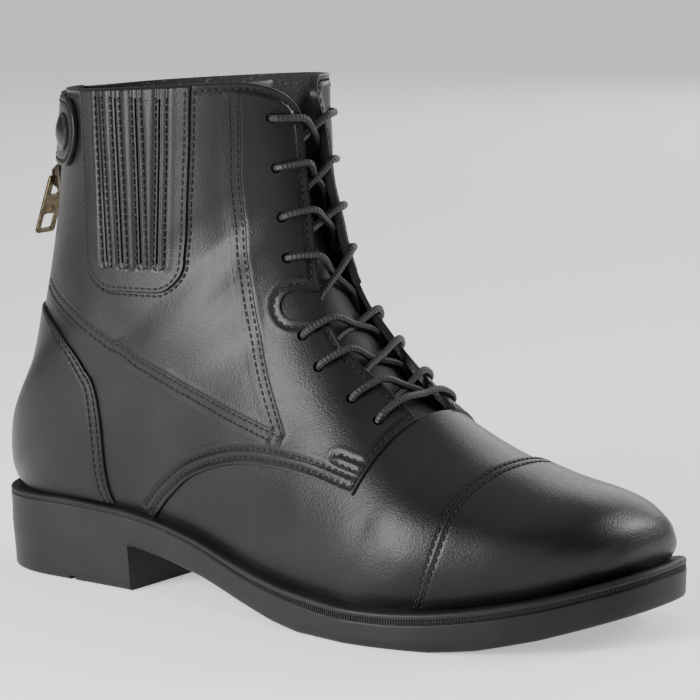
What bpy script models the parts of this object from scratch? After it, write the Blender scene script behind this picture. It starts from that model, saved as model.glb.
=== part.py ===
"""Lace-up ankle boot for the right foot, as separate solids.

Sizes are in millimetres: x runs forward from the back of the sole, y to the medial side and z up from the floor.
The solids are placed in metres, with the origin on the floor under the middle of the heel.
"""
import functools
import math
from collections import namedtuple

import bmesh
import bpy
import numpy as np
from mathutils import Matrix, Vector

MM = 0.001
GAP = 0.3

# Sole
SOLE_LENGTH = 286.0
BALL_WIDTH = 101.0
HEEL_WIDTH = 70.0
BALL_X = 194.0
HEEL_RUN = 38.0
TOE_SWING = 20.0
OUTLINE_POWER = 2.4
SWING_POWER = 1.6
BREAST_X = 80.0
BREAST_HEIGHT = 17.4
HEEL_CENTRE_X = 40.0
EDGE_ROUND = 1.4
WELT_REACH = 10.0
WELT_AT_HEEL = 2.2
WELT_AT_BALL = 4.0
INSOLE_THICK = 3.0
INSOLE_CLEAR = 1.5
GROOVE_WIDE = 3.0
GROOVE_DEEP = 1.2
GROOVE_MARGIN = 9.0

# Upper
FEATHER = 5.5
WALL = 1.8
QUARTER_STEP = 1.0
OVERLAY = 0.9
CAP_RUN = 62.0
QUARTER_FRONT_RUN = 99.0
COLLAR_CORNER = 16.0
HOLE_RADIUS = 2.0
HOLE_INSET = 12.0
LACE_RADIUS = 1.3
LACE_CLEAR = 0.7
CROSSING_LIFT = 0.55
NOTCH_HALF = 5.6
NOTCH_RUN = 16.0
NOTCH_CENTRE = (154.0, 112.8)
TONGUE_THICK = 2.0

# Gore panels
GORE_BACK = 67.5
GORE_FRONT_LOW = 112.0
GORE_FRONT_LEAN = 0.14
GORE_BOTTOM = 115.6
GORE_TOP = 185.5
GORE_CORNER = 13.0
SLIT_WIDE = 1.6
SLIT_TOP = 182.5
SLIT_BOTTOM = 127.0

# Zip and snap tab at the back
ZIP_BOTTOM = 109.0
ZIP_TOP = 184.0
TAPE_HALF = 7.0
TEETH_HALF = 2.0
TEETH_RISE = 2.0
STRAP_BOTTOM = 160.0
STRAP_TOP = 186.0
STRAP_LATERAL = 49.0
STRAP_MEDIAL = 30.0
STRAP_THICK = 1.6
STRAP_ARCS = (
    -49.0, -48.0, -45.0, -41.0, -36.0, -29.0, -23.0, -18.0, -13.0, -10.0, -7.0, -3.5, 0.0, 3.5, 7.0, 10.0, 13.0,
    18.0, 24.0, STRAP_MEDIAL,
)
SNAP_ARC = -36.0
SNAP_HEIGHT = 173.0
SNAP_RADIUS = 7.2
SNAP_RISE = 2.6
SLIDER_Z = 152.0
SLIDER_WIDE = 8.0
SLIDER_TALL = 11.0
SLIDER_THICK = 3.0
BRIDGE_WIDE = 2.4
BRIDGE_TALL = 8.4
BRIDGE_BAR = 1.1
PIVOT_CLEAR = 1.7
PULL_WIDE = 10.0
PULL_LENGTH = 25.0
PULL_THICK = 1.4
PULL_TILT = 22.0

WaistRow = namedtuple("WaistRow", "x lateral medial")
HeightRow = namedtuple("HeightRow", "x z")
Section = namedtuple("Section", "name base_x base_z top_x top_z lateral medial widest crown foot")
Cut = namedtuple("Cut", "base_x base_z top_x top_z lateral medial widest crown foot centre half")
FacingRow = namedtuple("FacingRow", "ridge_z half_gap")
TongueRow = namedtuple("TongueRow", "ridge_z half_width depth")
ArcRow = namedtuple("ArcRow", "z half_arc")
SlitRow = namedtuple("SlitRow", "top_x bottom_x")
GrooveRow = namedtuple("GrooveRow", "x margin")

# Half widths of the sole between heel and ball
WAIST_ROWS = (
    WaistRow(HEEL_RUN, HEEL_WIDTH / 2, HEEL_WIDTH / 2),
    WaistRow(75.0, 35.3, 33.0),
    WaistRow(115.0, 38.0, 32.0),
    WaistRow(160.0, 46.5, 42.5),
    WaistRow(BALL_X, BALL_WIDTH / 2, BALL_WIDTH / 2),
)
# Height of the sole's top edge: heel, arch, ball and toe spring
EDGE_ROWS = (
    HeightRow(0.0, 32.0), HeightRow(60.0, 32.0), HeightRow(85.0, 30.5), HeightRow(110.0, 26.5),
    HeightRow(140.0, 19.8), HeightRow(165.0, 15.6), HeightRow(190.0, 13.5), HeightRow(225.0, 14.0),
    HeightRow(260.0, 19.3), HeightRow(SOLE_LENGTH, 26.0),
)
# Height of the underside ahead of the heel breast
UNDER_ROWS = (
    HeightRow(BREAST_X, BREAST_HEIGHT), HeightRow(100.0, 14.8), HeightRow(120.0, 10.8), HeightRow(140.0, 6.0),
    HeightRow(158.0, 2.0), HeightRow(172.0, 0.0), HeightRow(228.0, 0.0), HeightRow(244.0, 1.4),
    HeightRow(262.0, 5.0), HeightRow(SOLE_LENGTH, 11.5),
)
# Sections of the last. A base_z of None stands on the sole's edge, and the others stand on the back seam.
# lateral and medial are half widths at the widest share of the height, crown and foot the powers of the curve.
SECTIONS = (
    Section("tip", 280.5, None, 280.5, 25.5, 0.0, 0.0, 0.30, 2.2, 2.2),
    Section("nose", 277.5, None, 281.0, 31.5, 15.5, 15.5, 0.30, 2.2, 2.2),
    Section("nose_top", 270.0, None, 278.5, 38.0, 25.7, 25.7, 0.30, 2.2, 2.2),
    Section("toe", 258.0, None, 272.5, 43.5, 34.0, 34.0, 0.30, 2.2, 2.2),
    Section("toe_back", 243.0, None, 261.0, 49.0, 39.8, 39.8, 0.30, 2.2, 2.2),
    Section("cap_line", 225.0, None, 243.0, 55.5, 43.3, 43.3, 0.28, 2.2, 2.2),
    Section("ball_front", 205.0, None, 222.0, 63.5, 44.9, 44.9, 0.25, 2.2, 2.2),
    Section("ball", 185.0, None, 204.0, 74.0, 43.5, 44.0, 0.22, 2.1, 2.2),
    Section("instep", 160.0, None, 186.0, 90.0, 39.5, 41.0, 0.22, 2.0, 2.2),
    Section("waist", 130.0, None, 171.5, 106.5, 34.8, 38.3, 0.28, 2.0, 2.2),
    Section("arch", 95.0, None, 161.5, 121.5, 33.8, 36.3, 0.35, 2.0, 2.3),
    Section("heel_front", 60.0, None, 156.0, 135.0, 34.7, 35.2, 0.45, 2.0, 2.6),
    Section("heel", 30.0, None, 153.0, 147.0, 35.8, 35.8, 0.50, 2.0, 3.0),
    Section("heel_back", 5.6, 32.4, 151.0, 157.0, 36.0, 35.5, 0.50, 2.0, 3.0),
    Section("counter", 3.8, 50.0, 150.0, 164.0, 36.5, 36.0, 0.50, 2.0, 2.8),
    Section("counter_top", 12.7, 75.0, 149.0, 171.0, 37.0, 36.5, 0.50, 2.05, 2.2),
    Section("ankle", 17.9, 105.0, 148.0, 178.0, 38.0, 37.5, 0.50, 2.1, 1.8),
    Section("shaft", 23.2, 135.0, 147.0, 184.0, 39.0, 38.5, 0.50, 2.15, 1.6),
    Section("shaft_top", 27.5, 161.0, 146.5, 189.0, 40.0, 39.5, 0.50, 2.2, 1.58),
    Section("collar", 32.3, 188.5, 146.0, 194.0, 41.0, 40.5, 0.50, 2.2, 1.6),
)
# Half of the gap between the facings, by the height of the ridge
FACING_ROWS = (
    FacingRow(60.0, 11.0), FacingRow(86.0, 11.5), FacingRow(102.0, 14.4), FacingRow(117.0, 12.4),
    FacingRow(131.0, 9.6), FacingRow(150.0, 7.4), FacingRow(194.0, 6.0),
)
# Lower edge of the quarter, seen from the side, from its front corner back to the sole
QUARTER_EDGE = (
    HeightRow(193.5, 50.8), HeightRow(168.0, 55.5), HeightRow(141.0, 56.0), HeightRow(118.0, 49.8),
    HeightRow(104.0, 40.5), HeightRow(92.5, 30.0),
)
# Heights of the lace holes, from the top one down
HOLE_HEIGHTS = (180.0, 162.0, 144.0, 129.5, 102.5, 92.0, 81.5, 74.5)
# The tongue follows the ridge, sunk below it by depth
TONGUE_ROWS = (
    TongueRow(70.5, 17.0, 2.3), TongueRow(75.0, 19.0, 3.0), TongueRow(82.0, 24.0, 7.6), TongueRow(94.0, 29.0, 7.6),
    TongueRow(106.0, 34.0, 7.8), TongueRow(120.0, 35.0, 8.2), TongueRow(140.0, 33.0, 12.0),
    TongueRow(166.0, 31.0, 19.5), TongueRow(186.0, 29.0, 26.0), TongueRow(194.0, 21.0, 28.0),
)
COUNTER_ROWS = (
    ArcRow(33.2, 75.0), ArcRow(45.0, 72.0), ArcRow(58.0, 71.3), ArcRow(70.0, 69.5), ArcRow(80.0, 66.0),
    ArcRow(90.0, 58.0), ArcRow(97.0, 48.0), ArcRow(101.0, 39.0), ArcRow(104.5, 28.0),
)
STRIP_ROWS = (ArcRow(33.2, 14.0), ArcRow(45.0, 13.0), ArcRow(58.0, 12.0), ArcRow(70.0, 7.5))
HALF_COLUMNS = (0.13, 0.26, 0.39, 0.52, 0.64, 0.76, 0.88, 1.0)
COUNTER_COLUMNS = tuple(-place for place in reversed(HALF_COLUMNS)) + (0.0,) + HALF_COLUMNS
SLIT_ROWS = (SlitRow(80.4, 79.0), SlitRow(89.4, 86.5), SlitRow(99.0, 94.6), SlitRow(109.2, 102.0))
GROOVES = (
    GrooveRow(22.0, GROOVE_MARGIN), GrooveRow(49.0, -2.0), GrooveRow(66.0, GROOVE_MARGIN),
    GrooveRow(166.0, GROOVE_MARGIN), GrooveRow(180.0, GROOVE_MARGIN), GrooveRow(194.0, GROOVE_MARGIN),
    GrooveRow(208.0, GROOVE_MARGIN), GrooveRow(222.0, GROOVE_MARGIN), GrooveRow(236.0, GROOVE_MARGIN),
)

# Steps for the slopes of the form
SEAM_STEP = 0.5
SHARE_STEP = 0.01
FINE = 121
ORIGIN = np.array((HEEL_CENTRE_X, 0.0, 0.0))


def smooth_curve(stations, values):
    """A cubic through these values, as a function of the station."""
    at = np.asarray(stations, float)
    value = np.asarray(values, float).reshape(len(at), -1)
    step = np.diff(at)
    slope = np.diff(value, axis=0) / step[:, None]
    tangent = np.empty_like(value)
    tangent[0] = slope[0]
    tangent[-1] = slope[-1]
    weight = (step[1:] / (step[1:] + step[:-1]))[:, None]
    tangent[1:-1] = weight * slope[:-1] + (1 - weight) * slope[1:]

    def curve(station):
        place = np.atleast_1d(np.asarray(station, float))
        i = np.clip(np.searchsorted(at, place, side="right") - 1, 0, len(at) - 2)
        t = ((place - at[i]) / step[i])[:, None]
        h = step[i][:, None]
        start = (1 + 2 * t) * (1 - t) ** 2 * value[i] + t * (1 - t) ** 2 * h * tangent[i]
        end = t ** 2 * (3 - 2 * t) * value[i + 1] + t ** 2 * (t - 1) * h * tangent[i + 1]
        return start + end

    return curve


WAIST_CURVE = smooth_curve([row.x for row in WAIST_ROWS], [(row.lateral, row.medial) for row in WAIST_ROWS])
EDGE_CURVE = smooth_curve([row.x for row in EDGE_ROWS], [row.z for row in EDGE_ROWS])
FACING_CURVE = smooth_curve([row.ridge_z for row in FACING_ROWS], [row.half_gap for row in FACING_ROWS])


def sole_top(x):
    """Height of the sole's top edge at x."""
    return EDGE_CURVE(np.clip(x, 0.0, SOLE_LENGTH))[:, 0]


def sole_under(x):
    """Height of the sole's underside at x, with the heel's top line carried back through the heel."""
    return np.interp(x, [row.x for row in UNDER_ROWS], [row.z for row in UNDER_ROWS])


def welt_thickness(x):
    """The welt is thin around the heel and deep around the ball and toe."""
    share = np.clip((np.asarray(x, float) - BREAST_X) / (BALL_X - BREAST_X), 0.0, 1.0)
    return WELT_AT_HEEL + (WELT_AT_BALL - WELT_AT_HEEL) * share * share * (3 - 2 * share)


def sole_edge(x):
    """Lateral and medial y of the sole's outline at x."""
    x = np.atleast_1d(np.asarray(x, float))
    toe = np.clip((x - BALL_X) / (SOLE_LENGTH - BALL_X), 0.0, 1.0)
    heel = np.clip((HEEL_RUN - x) / HEEL_RUN, 0.0, 1.0)
    half = WAIST_CURVE(np.clip(x, HEEL_RUN, BALL_X))
    rounding = (1 - toe ** OUTLINE_POWER) ** (1 / OUTLINE_POWER) * (1 - heel ** OUTLINE_POWER) ** (1 / OUTLINE_POWER)
    centre = TOE_SWING * toe ** SWING_POWER
    return centre - half[:, 0] * rounding, centre + half[:, 1] * rounding


def feather_edge(x):
    """Lateral and medial y of the line where the upper meets the sole."""
    stretch = SOLE_LENGTH / (SOLE_LENGTH - 2 * FEATHER)
    low, high = sole_edge(np.clip((np.asarray(x, float) - FEATHER) * stretch, 0.0, SOLE_LENGTH))
    centre = (low + high) / 2
    half = (high - low) / 2 * (1 - FEATHER / (HEEL_WIDTH / 2 + FEATHER))
    return centre - half, centre + half


def section_columns():
    """The section table as numbers, with base_z filled in from the sole."""
    rows = []
    for row in SECTIONS:
        base_z = sole_top(row.base_x)[0] + GAP if row.base_z is None else row.base_z
        rows.append((row.base_x, base_z) + row[3:])
    return np.array(rows)


COLUMNS = section_columns()
BASE_STEP = np.hypot(*np.diff(COLUMNS[:, 0:2], axis=0).T)
TOP_STEP = np.hypot(*np.diff(COLUMNS[:, 2:4], axis=0).T)
RUNS = np.concatenate(([0.0], np.cumsum((BASE_STEP + TOP_STEP) / 2)))
SECTION_CURVE = smooth_curve(RUNS, COLUMNS)
RUN_END = RUNS[-1]
BACK_RUN = RUNS[[row.name for row in SECTIONS].index("heel_back")]
DENSE_RUNS = np.linspace(0.0, RUN_END, 673)
DENSE_ROWS = SECTION_CURVE(DENSE_RUNS)


@functools.lru_cache(maxsize=None)
def cut_at(run):
    """The section at this run from the toe tip, standing on the sole or on the back seam."""
    row = SECTION_CURVE(run)[0]
    centre = half = 0.0
    if run < BACK_RUN:
        low, high = feather_edge(row[0])
        centre = float(low[0] + high[0]) / 2
        half = float(high[0] - low[0]) / 2
        row[1] = sole_top(row[0])[0] + GAP
    return Cut(*row, centre, half)


@functools.lru_cache(maxsize=None)
def half_line(run, side):
    """One half of a section, from the ridge to the base: points, share of the height and share of the length."""
    cut = cut_at(run)
    wide = max(cut.lateral if side < 0 else cut.medial, cut.half + 0.2)
    close = (1 - (cut.half / wide) ** cut.foot) ** (1 / cut.foot)
    turn = math.asin(close ** (cut.foot / 2))
    angle = np.linspace(math.pi / 2, -turn, FINE)
    sine = np.abs(np.sin(angle))
    cosine = np.abs(np.cos(angle))
    above = cut.widest + (1 - cut.widest) * sine ** (2 / cut.crown)
    below = cut.widest - cut.widest * sine ** (2 / cut.foot) / close
    height = np.where(angle >= 0, above, below)
    width = wide * np.where(angle >= 0, cosine ** (2 / cut.crown), cosine ** (2 / cut.foot))
    x = cut.base_x + height * (cut.top_x - cut.base_x)
    z = cut.base_z + height * (cut.top_z - cut.base_z)
    points = np.stack([x, cut.centre + side * width, z], -1)
    length = np.concatenate(([0.0], np.cumsum(np.linalg.norm(np.diff(points, axis=0), axis=1))))
    return points, height, length


def boot_point(run, share):
    """A point of the upper's outer form. share goes from -1, lateral base, over the ridge to 1, medial base."""
    run = float(np.clip(run, 0.0, RUN_END))
    if run == 0.0:
        tip = cut_at(run)
        return np.array((tip.base_x, tip.centre, tip.base_z))
    if abs(share) > 1:
        share = share - math.copysign(2.0, share) if run >= BACK_RUN else math.copysign(1.0, share)
    points, _, length = half_line(round(run, 5), -1 if share < 0 else 1)
    place = abs(share) * length[-1]
    return np.array([np.interp(place, length, points[:, k]) for k in range(3)])


def lifted(surface, a, b, height, step_a, step_b):
    """A point of a surface, moved along its outward normal."""
    point = surface(a, b)
    across = surface(a, b + step_b) - surface(a, b - step_b)
    along = surface(a + step_a, b) - surface(a - step_a, b)
    normal = np.cross(across, along)
    return point + height * normal / np.linalg.norm(normal), normal / np.linalg.norm(normal)


def raised(run, share, height):
    """A point over the upper's form by height.

    Along the sole it moves level, and at toe tip and heel straight out.
    """
    point = boot_point(run, share)
    on_sole = abs(share) >= 1.0 and run < BACK_RUN + SEAM_STEP
    if run <= 0.0:
        normal = np.array((1.0, 0.0, 0.0))
    elif on_sole and run > BACK_RUN - SEAM_STEP:
        normal = np.array((-1.0, 0.0, 0.0))
    else:
        normal = lifted(boot_point, run, share, 0.0, SEAM_STEP, SHARE_STEP)[1]
    if on_sole or run <= 0.0:
        normal[2] = 0.0
        moved = point + height * normal / np.linalg.norm(normal)
        moved[2] = sole_top(moved[0])[0] + GAP
        return moved
    return point + height * normal


def arc_length(run, side):
    """Length of one half section."""
    return half_line(round(float(run), 5), side)[2][-1]


def ridge_run(z):
    """The run whose ridge is at this height."""
    return float(np.interp(z, DENSE_ROWS[:, 3], DENSE_RUNS))


def facing_share(run):
    """Share of the half section that the throat takes at this run."""
    gap = FACING_CURVE(cut_at(round(float(run), 5)).top_z)[0, 0]
    return gap / arc_length(run, -1)


def locate(x, z, side):
    """Run and share of the point that has this x and z, on one side."""
    low, high = 0.5, RUN_END
    for _ in range(40):
        middle = (low + high) / 2
        cut = cut_at(round(middle, 5))
        lean = (x - cut.base_x) * (cut.top_z - cut.base_z) - (z - cut.base_z) * (cut.top_x - cut.base_x)
        if lean < 0:
            low = middle
        else:
            high = middle
    run = round((low + high) / 2, 5)
    cut = cut_at(run)
    rise = np.array((cut.top_x - cut.base_x, cut.top_z - cut.base_z))
    height = float(np.dot((x - cut.base_x, z - cut.base_z), rise) / np.dot(rise, rise))
    _, heights, length = half_line(run, side)
    share = np.interp(-height, -heights, length / length[-1])
    return run, float(share)


def side_surface(side):
    """The upper's side as a function of x and z, turned so that lifted points outward."""
    def surface(x, z):
        run, share = locate(x, z, side)
        return np.array((x, boot_point(run, side * share)[1], z))

    return surface


BACK_ROWS = DENSE_ROWS[DENSE_RUNS >= BACK_RUN]


@functools.lru_cache(maxsize=None)
def back_line(z):
    """The level section around the heel at this height: points, and their arc from the middle of the back."""
    start = float(np.interp(z, BACK_ROWS[:, 1], BACK_ROWS[:, 0]))
    reach = start + 0.1 + 100.0 * np.linspace(0.0, 1.0, 36) ** 2
    halves = []
    for side in (-1, 1):
        surface = side_surface(side)
        halves.append(np.array([surface(x, z) for x in reach]))
    line = np.concatenate((halves[0][::-1], [(start, 0.0, z)], halves[1]))
    arc = np.concatenate(([0.0], np.cumsum(np.linalg.norm(np.diff(line, axis=0), axis=1))))
    return line, arc - arc[len(reach)]


def back_surface(z, arc):
    """A point around the back of the boot, at this height and arc from the back's middle, lateral below zero."""
    line, arcs = back_line(round(float(max(z, BACK_ROWS[0, 1] + 0.1)), 4))
    return np.array([np.interp(arc, arcs, line[:, k]) for k in range(3)])


def over_back(z, arc, height):
    """A point over the back of the boot by height, and not below the sole's edge."""
    point = lifted(back_surface, z, arc, -height, 1.0, 1.0)[0]
    point[2] = max(point[2], sole_top(point[0])[0] + GAP)
    return point


def over_side(x, z, side, height):
    """A point over one side of the boot by height."""
    return lifted(side_surface(side), x, z, side * height, 0.5, 0.5)[0]


def to_frame(points):
    """Millimetres from the back of the sole to metres in the part's frame."""
    return (np.asarray(points, float) - ORIGIN) * MM


def add_sheet(mesh, grid):
    """Adds a grid of points as quads."""
    grid = to_frame(grid)
    verts = [[mesh.verts.new(point) for point in row] for row in grid]
    for low, high in zip(verts, verts[1:]):
        for a, b, c, d in zip(low, low[1:], high[1:], high):
            mesh.faces.new((a, b, c, d))


def add_strip(mesh, first, second):
    """Adds a band of quads between two lines of points."""
    add_sheet(mesh, [first, second])


def add_shell(mesh, low, high):
    """Adds a closed sheet of material between two grids."""
    low, high = np.asarray(low), np.asarray(high)
    add_sheet(mesh, low)
    add_sheet(mesh, high)
    for edge in (np.s_[0], np.s_[-1], np.s_[:, 0], np.s_[:, -1]):
        add_strip(mesh, low[edge], high[edge])


def close(mesh):
    """Merges shared points and turns all faces outward."""
    bmesh.ops.remove_doubles(mesh, verts=mesh.verts, dist=0.02 * MM)
    bmesh.ops.triangulate(mesh, faces=[face for face in mesh.faces if len(face.verts) > 4])
    bmesh.ops.recalc_face_normals(mesh, faces=mesh.faces)


def make_object(name, mesh, collection):
    """Turns a bmesh into an object of this collection."""
    data = bpy.data.meshes.new(name)
    mesh.to_mesh(data)
    mesh.free()
    obj = bpy.data.objects.new(name, data)
    collection.objects.link(obj)
    return obj


def material(name, colour, roughness, metallic=0.0):
    """A Principled material of this colour."""
    made = bpy.data.materials.new(name)
    made.use_nodes = True
    shader = made.node_tree.nodes["Principled BSDF"]
    shader.inputs["Base Color"].default_value = (*colour, 1.0)
    shader.inputs["Roughness"].default_value = roughness
    shader.inputs["Metallic"].default_value = metallic
    return made


def finish(obj, made, smooth=True):
    """Gives an object its material and smooth shading."""
    obj.data.materials.append(made)
    if smooth and obj.type == "MESH":
        obj.data.shade_smooth()
        obj.data.set_sharp_from_angle(angle=math.radians(35))
    return obj


def new_collection(name):
    """A collection in the scene."""
    collection = bpy.data.collections.new(name)
    bpy.context.scene.collection.children.link(collection)
    return collection


def cutter(name, mesh, collection):
    """A wire object that only cuts others."""
    obj = make_object(name, mesh, collection)
    obj.hide_render = True
    obj.display_type = "WIRE"
    return obj


def add_boolean(obj, other, operation):
    """Cuts an object with a cutter, or joins the two."""
    modifier = obj.modifiers.new(other.name, "BOOLEAN")
    modifier.operation = operation
    modifier.object = other


def mesh_from_curve(name, curve, collection):
    """A curve object's evaluated shape as a closed mesh object, in place of the curve."""
    depsgraph = bpy.context.evaluated_depsgraph_get()
    data = bpy.data.meshes.new_from_object(curve.evaluated_get(depsgraph))
    shape = bmesh.new()
    shape.from_mesh(data)
    bmesh.ops.remove_doubles(shape, verts=shape.verts, dist=0.005 * MM)
    bmesh.ops.recalc_face_normals(shape, faces=shape.faces)
    placed = curve.matrix_world.copy()
    bpy.data.meshes.remove(data)
    bpy.data.objects.remove(curve)
    obj = make_object(name, shape, collection)
    obj.matrix_world = placed
    return obj


def frame_matrix(point, normal, up):
    """A placement with local Z along normal and local Y near up."""
    z_axis = Vector(normal).normalized()
    x_axis = Vector(up).cross(z_axis).normalized()
    y_axis = z_axis.cross(x_axis)
    placed = Matrix((x_axis, y_axis, z_axis)).transposed().to_4x4()
    placed.translation = Vector(to_frame(point))
    return placed


# Sole

HEEL_STATIONS = 9
FORE_STATIONS = 22


def stations():
    """Shares of the sole's length, close together at the heel's back and the toe, with one on the breast."""
    breast = BREAST_X / SOLE_LENGTH
    heel = breast * (1 - np.cos(np.linspace(0.0, math.pi / 2, HEEL_STATIONS)))
    fore = breast + (1 - breast) * np.sin(np.linspace(0.0, math.pi / 2, FORE_STATIONS))
    return np.concatenate((heel, fore[1:]))


def ring(edge, start, end):
    """A closed outline: from the heel along the lateral side to the toe and back along the medial side."""
    x = start + (end - start) * stations()
    low, high = edge(x)
    lateral = np.stack([x, low], -1)
    medial = np.stack([x, high], -1)
    return np.concatenate((lateral, medial[-2:0:-1]))


def drawn_in(outline, distance):
    """An outline moved inward by distance, square to itself."""
    along = np.roll(outline, -1, axis=0) - np.roll(outline, 1, axis=0)
    along /= np.linalg.norm(along, axis=1)[:, None]
    inward = np.stack([-along[:, 1], along[:, 0]], -1)
    return outline + inward * np.reshape(distance, (-1, 1))


def at_height(outline, z):
    """An outline lifted to a height or to a height for each point."""
    return np.column_stack((outline, np.broadcast_to(z, len(outline))))


def looped(line):
    """A ring with its first point again at the end."""
    return np.concatenate((line, line[:1]))


def halves(line, first, last):
    """The lateral and medial points of a ring between two stations."""
    count = HEEL_STATIONS + FORE_STATIONS - 2
    lateral = [line[k] for k in range(first, last + 1)]
    medial = [line[(2 * count - k) % (2 * count)] for k in range(first, last + 1)]
    return lateral, medial


def build_outsole(parts, cutters):
    """Sole and heel in one moulding, with a chamfered top edge, a heel breast and tread grooves."""
    outline = ring(sole_edge, 0.0, SOLE_LENGTH)
    count = HEEL_STATIONS + FORE_STATIONS - 2
    breast = HEEL_STATIONS - 1
    ahead = np.array([breast < min(k, 2 * count - k) for k in range(2 * count)], float)
    x = outline[:, 0]
    top = sole_top(x) - welt_thickness(x) - GAP
    under = sole_under(x)
    levels = [
        at_height(drawn_in(outline, EDGE_ROUND), top),
        at_height(outline, top - EDGE_ROUND / 2),
        at_height(outline, (top + under) / 2),
        at_height(drawn_in(outline, 0.3 * ahead), under + EDGE_ROUND),
        at_height(drawn_in(outline, EDGE_ROUND * ahead), under),
    ]
    heel_low = at_height(drawn_in(outline, 0.8), EDGE_ROUND)
    heel_floor = at_height(drawn_in(outline, 0.8 + EDGE_ROUND), 0.0)
    shape = bmesh.new()
    add_sheet(shape, [looped(level) for level in levels])
    for line, first, last in ((levels[0], 0, count), (levels[-1], breast, count), (heel_floor, 0, breast)):
        add_strip(shape, *halves(line, first, last))
    walls = []
    for line in (levels[-1], heel_low, heel_floor):
        lateral, medial = halves(line, 0, breast)
        walls.append(lateral[::-1] + medial[1:])
    add_sheet(shape, walls)
    lateral_edge = [wall[0] for wall in walls]
    medial_edge = [wall[-1] for wall in walls]
    add_strip(shape, lateral_edge, medial_edge)
    close(shape)
    outsole = make_object("outsole", shape, parts)
    grooves = bmesh.new()
    for groove in GROOVES:
        low, high = sole_edge(groove.x)
        near, far = low[0] + groove.margin, high[0] - groove.margin
        floor = sole_under(groove.x) if groove.x > BREAST_X else 0.0
        size = Matrix.Diagonal((GROOVE_WIDE * MM, (far - near) * MM, 2 * GROOVE_DEEP * MM, 1.0))
        centre = to_frame((groove.x, (near + far) / 2, floor))
        bmesh.ops.create_cube(grooves, size=1.0, matrix=Matrix.Translation(Vector(centre)) @ size)
    add_boolean(outsole, cutter("tread_grooves", grooves, cutters), "DIFFERENCE")
    return finish(outsole, material("sole_rubber", (0.018, 0.018, 0.019), 0.62))


def build_welt(parts):
    """The strip around the sole's edge that the upper stands on."""
    outline = ring(sole_edge, 0.0, SOLE_LENGTH)
    inner = drawn_in(outline, WELT_REACH)
    rim = drawn_in(outline, EDGE_ROUND / 2)
    lower = drawn_in(outline, EDGE_ROUND)
    thick = welt_thickness(outline[:, 0])
    top = sole_top(outline[:, 0])
    levels = [
        at_height(inner, sole_top(inner[:, 0])),
        at_height(rim, top),
        at_height(outline, top - EDGE_ROUND / 2),
        at_height(outline, top - thick + EDGE_ROUND / 2),
        at_height(lower, top - thick),
        at_height(inner, sole_top(inner[:, 0]) - thick),
    ]
    shape = bmesh.new()
    add_sheet(shape, [looped(level) for level in levels + levels[:1]])
    close(shape)
    return finish(make_object("welt", shape, parts), material("welt_rubber", (0.016, 0.016, 0.017), 0.55))


def build_insole(parts):
    """The footbed, just inside the upper's wall."""
    outline = drawn_in(ring(feather_edge, FEATHER, SOLE_LENGTH - FEATHER), WALL + INSOLE_CLEAR)
    count = HEEL_STATIONS + FORE_STATIONS - 2
    low = at_height(outline, sole_top(outline[:, 0]) + GAP)
    high = at_height(outline, sole_top(outline[:, 0]) + GAP + INSOLE_THICK)
    shape = bmesh.new()
    add_strip(shape, looped(low), looped(high))
    for line in (low, high):
        add_strip(shape, *halves(line, 0, count))
    close(shape)
    return finish(make_object("insole", shape, parts), material("insole_leather", (0.05, 0.045, 0.04), 0.7))


# Upper

CAP_RUNS = (0.0, 1.2, 3.0, 6.0, 11.0, 18.0, 28.0, 43.0, CAP_RUN)
VAMP_SHARES = (0.13, 0.26, 0.39, 0.52, 0.64, 0.76, 0.88, 1.0)
THROAT_COLUMNS = 2
FRONT_COLUMNS = 5
LOWER_COLUMNS = 7
COLLAR_SHARES = (0.0, 0.025, 0.06, 0.12, 0.22, 0.35, 0.49, 0.62, 0.74, 0.84, 0.915, 0.965, 1.0)
HEEL_ROWS = 9
SHAFT_ROWS = 12


def quarter_line(side):
    """Run and share along the quarter's front and lower edge, from the facing down to the sole."""
    corner = locate(QUARTER_EDGE[0].x, QUARTER_EDGE[0].z, side)
    start = facing_share(QUARTER_FRONT_RUN)
    line = []
    for k in range(FRONT_COLUMNS):
        part = k / FRONT_COLUMNS
        line.append((QUARTER_FRONT_RUN + part * (corner[0] - QUARTER_FRONT_RUN), start + part * (corner[1] - start)))
    edge = smooth_curve(range(len(QUARTER_EDGE)), QUARTER_EDGE)
    for part in np.linspace(0.0, 1.0, LOWER_COLUMNS + 1):
        x, z = edge((len(QUARTER_EDGE) - 1) * (1 - (1 - part) ** 1.6))[0]
        line.append(locate(x, z, side))
    line[-1] = (line[-1][0], 1.0)
    return line


def collar_run(share_of_facing, side):
    """Where a column of the quarter ends: the collar, rounded down towards the throat."""
    start = facing_share(RUN_END)
    reach = share_of_facing * (1 - start) * arc_length(RUN_END, side)
    if reach >= COLLAR_CORNER:
        return RUN_END
    drop = COLLAR_CORNER - math.sqrt(COLLAR_CORNER ** 2 - (COLLAR_CORNER - reach) ** 2)
    return ridge_run(SECTIONS[-1].top_z - drop)


def quarter_grid(side, heights):
    """Points of one quarter at each height over the form: rows from its front edge up to the collar."""
    line = quarter_line(side)
    back = (BACK_RUN - line[-1][0]) / (RUN_END - line[-1][0])
    heel = back * np.sin(np.linspace(0.0, math.pi / 2, HEEL_ROWS))
    rows = np.concatenate((heel, np.linspace(back, 1.0, SHAFT_ROWS)[1:]))
    grids = [[] for _ in heights]
    for row in rows:
        places = []
        for (first_run, first_share), collar_share in zip(line, COLLAR_SHARES):
            opening = facing_share(first_run)
            first = (first_share - opening) / (1 - opening)
            run = first_run + row * (collar_run(collar_share, side) - first_run)
            across = first + row * (collar_share - first)
            opening = facing_share(run)
            places.append((run, opening + (1 - opening) * across))
        for grid, height in zip(grids, heights):
            grid.append([raised(run, side * share, height) for run, share in places])
    return [np.array(grid) for grid in grids]


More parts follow.
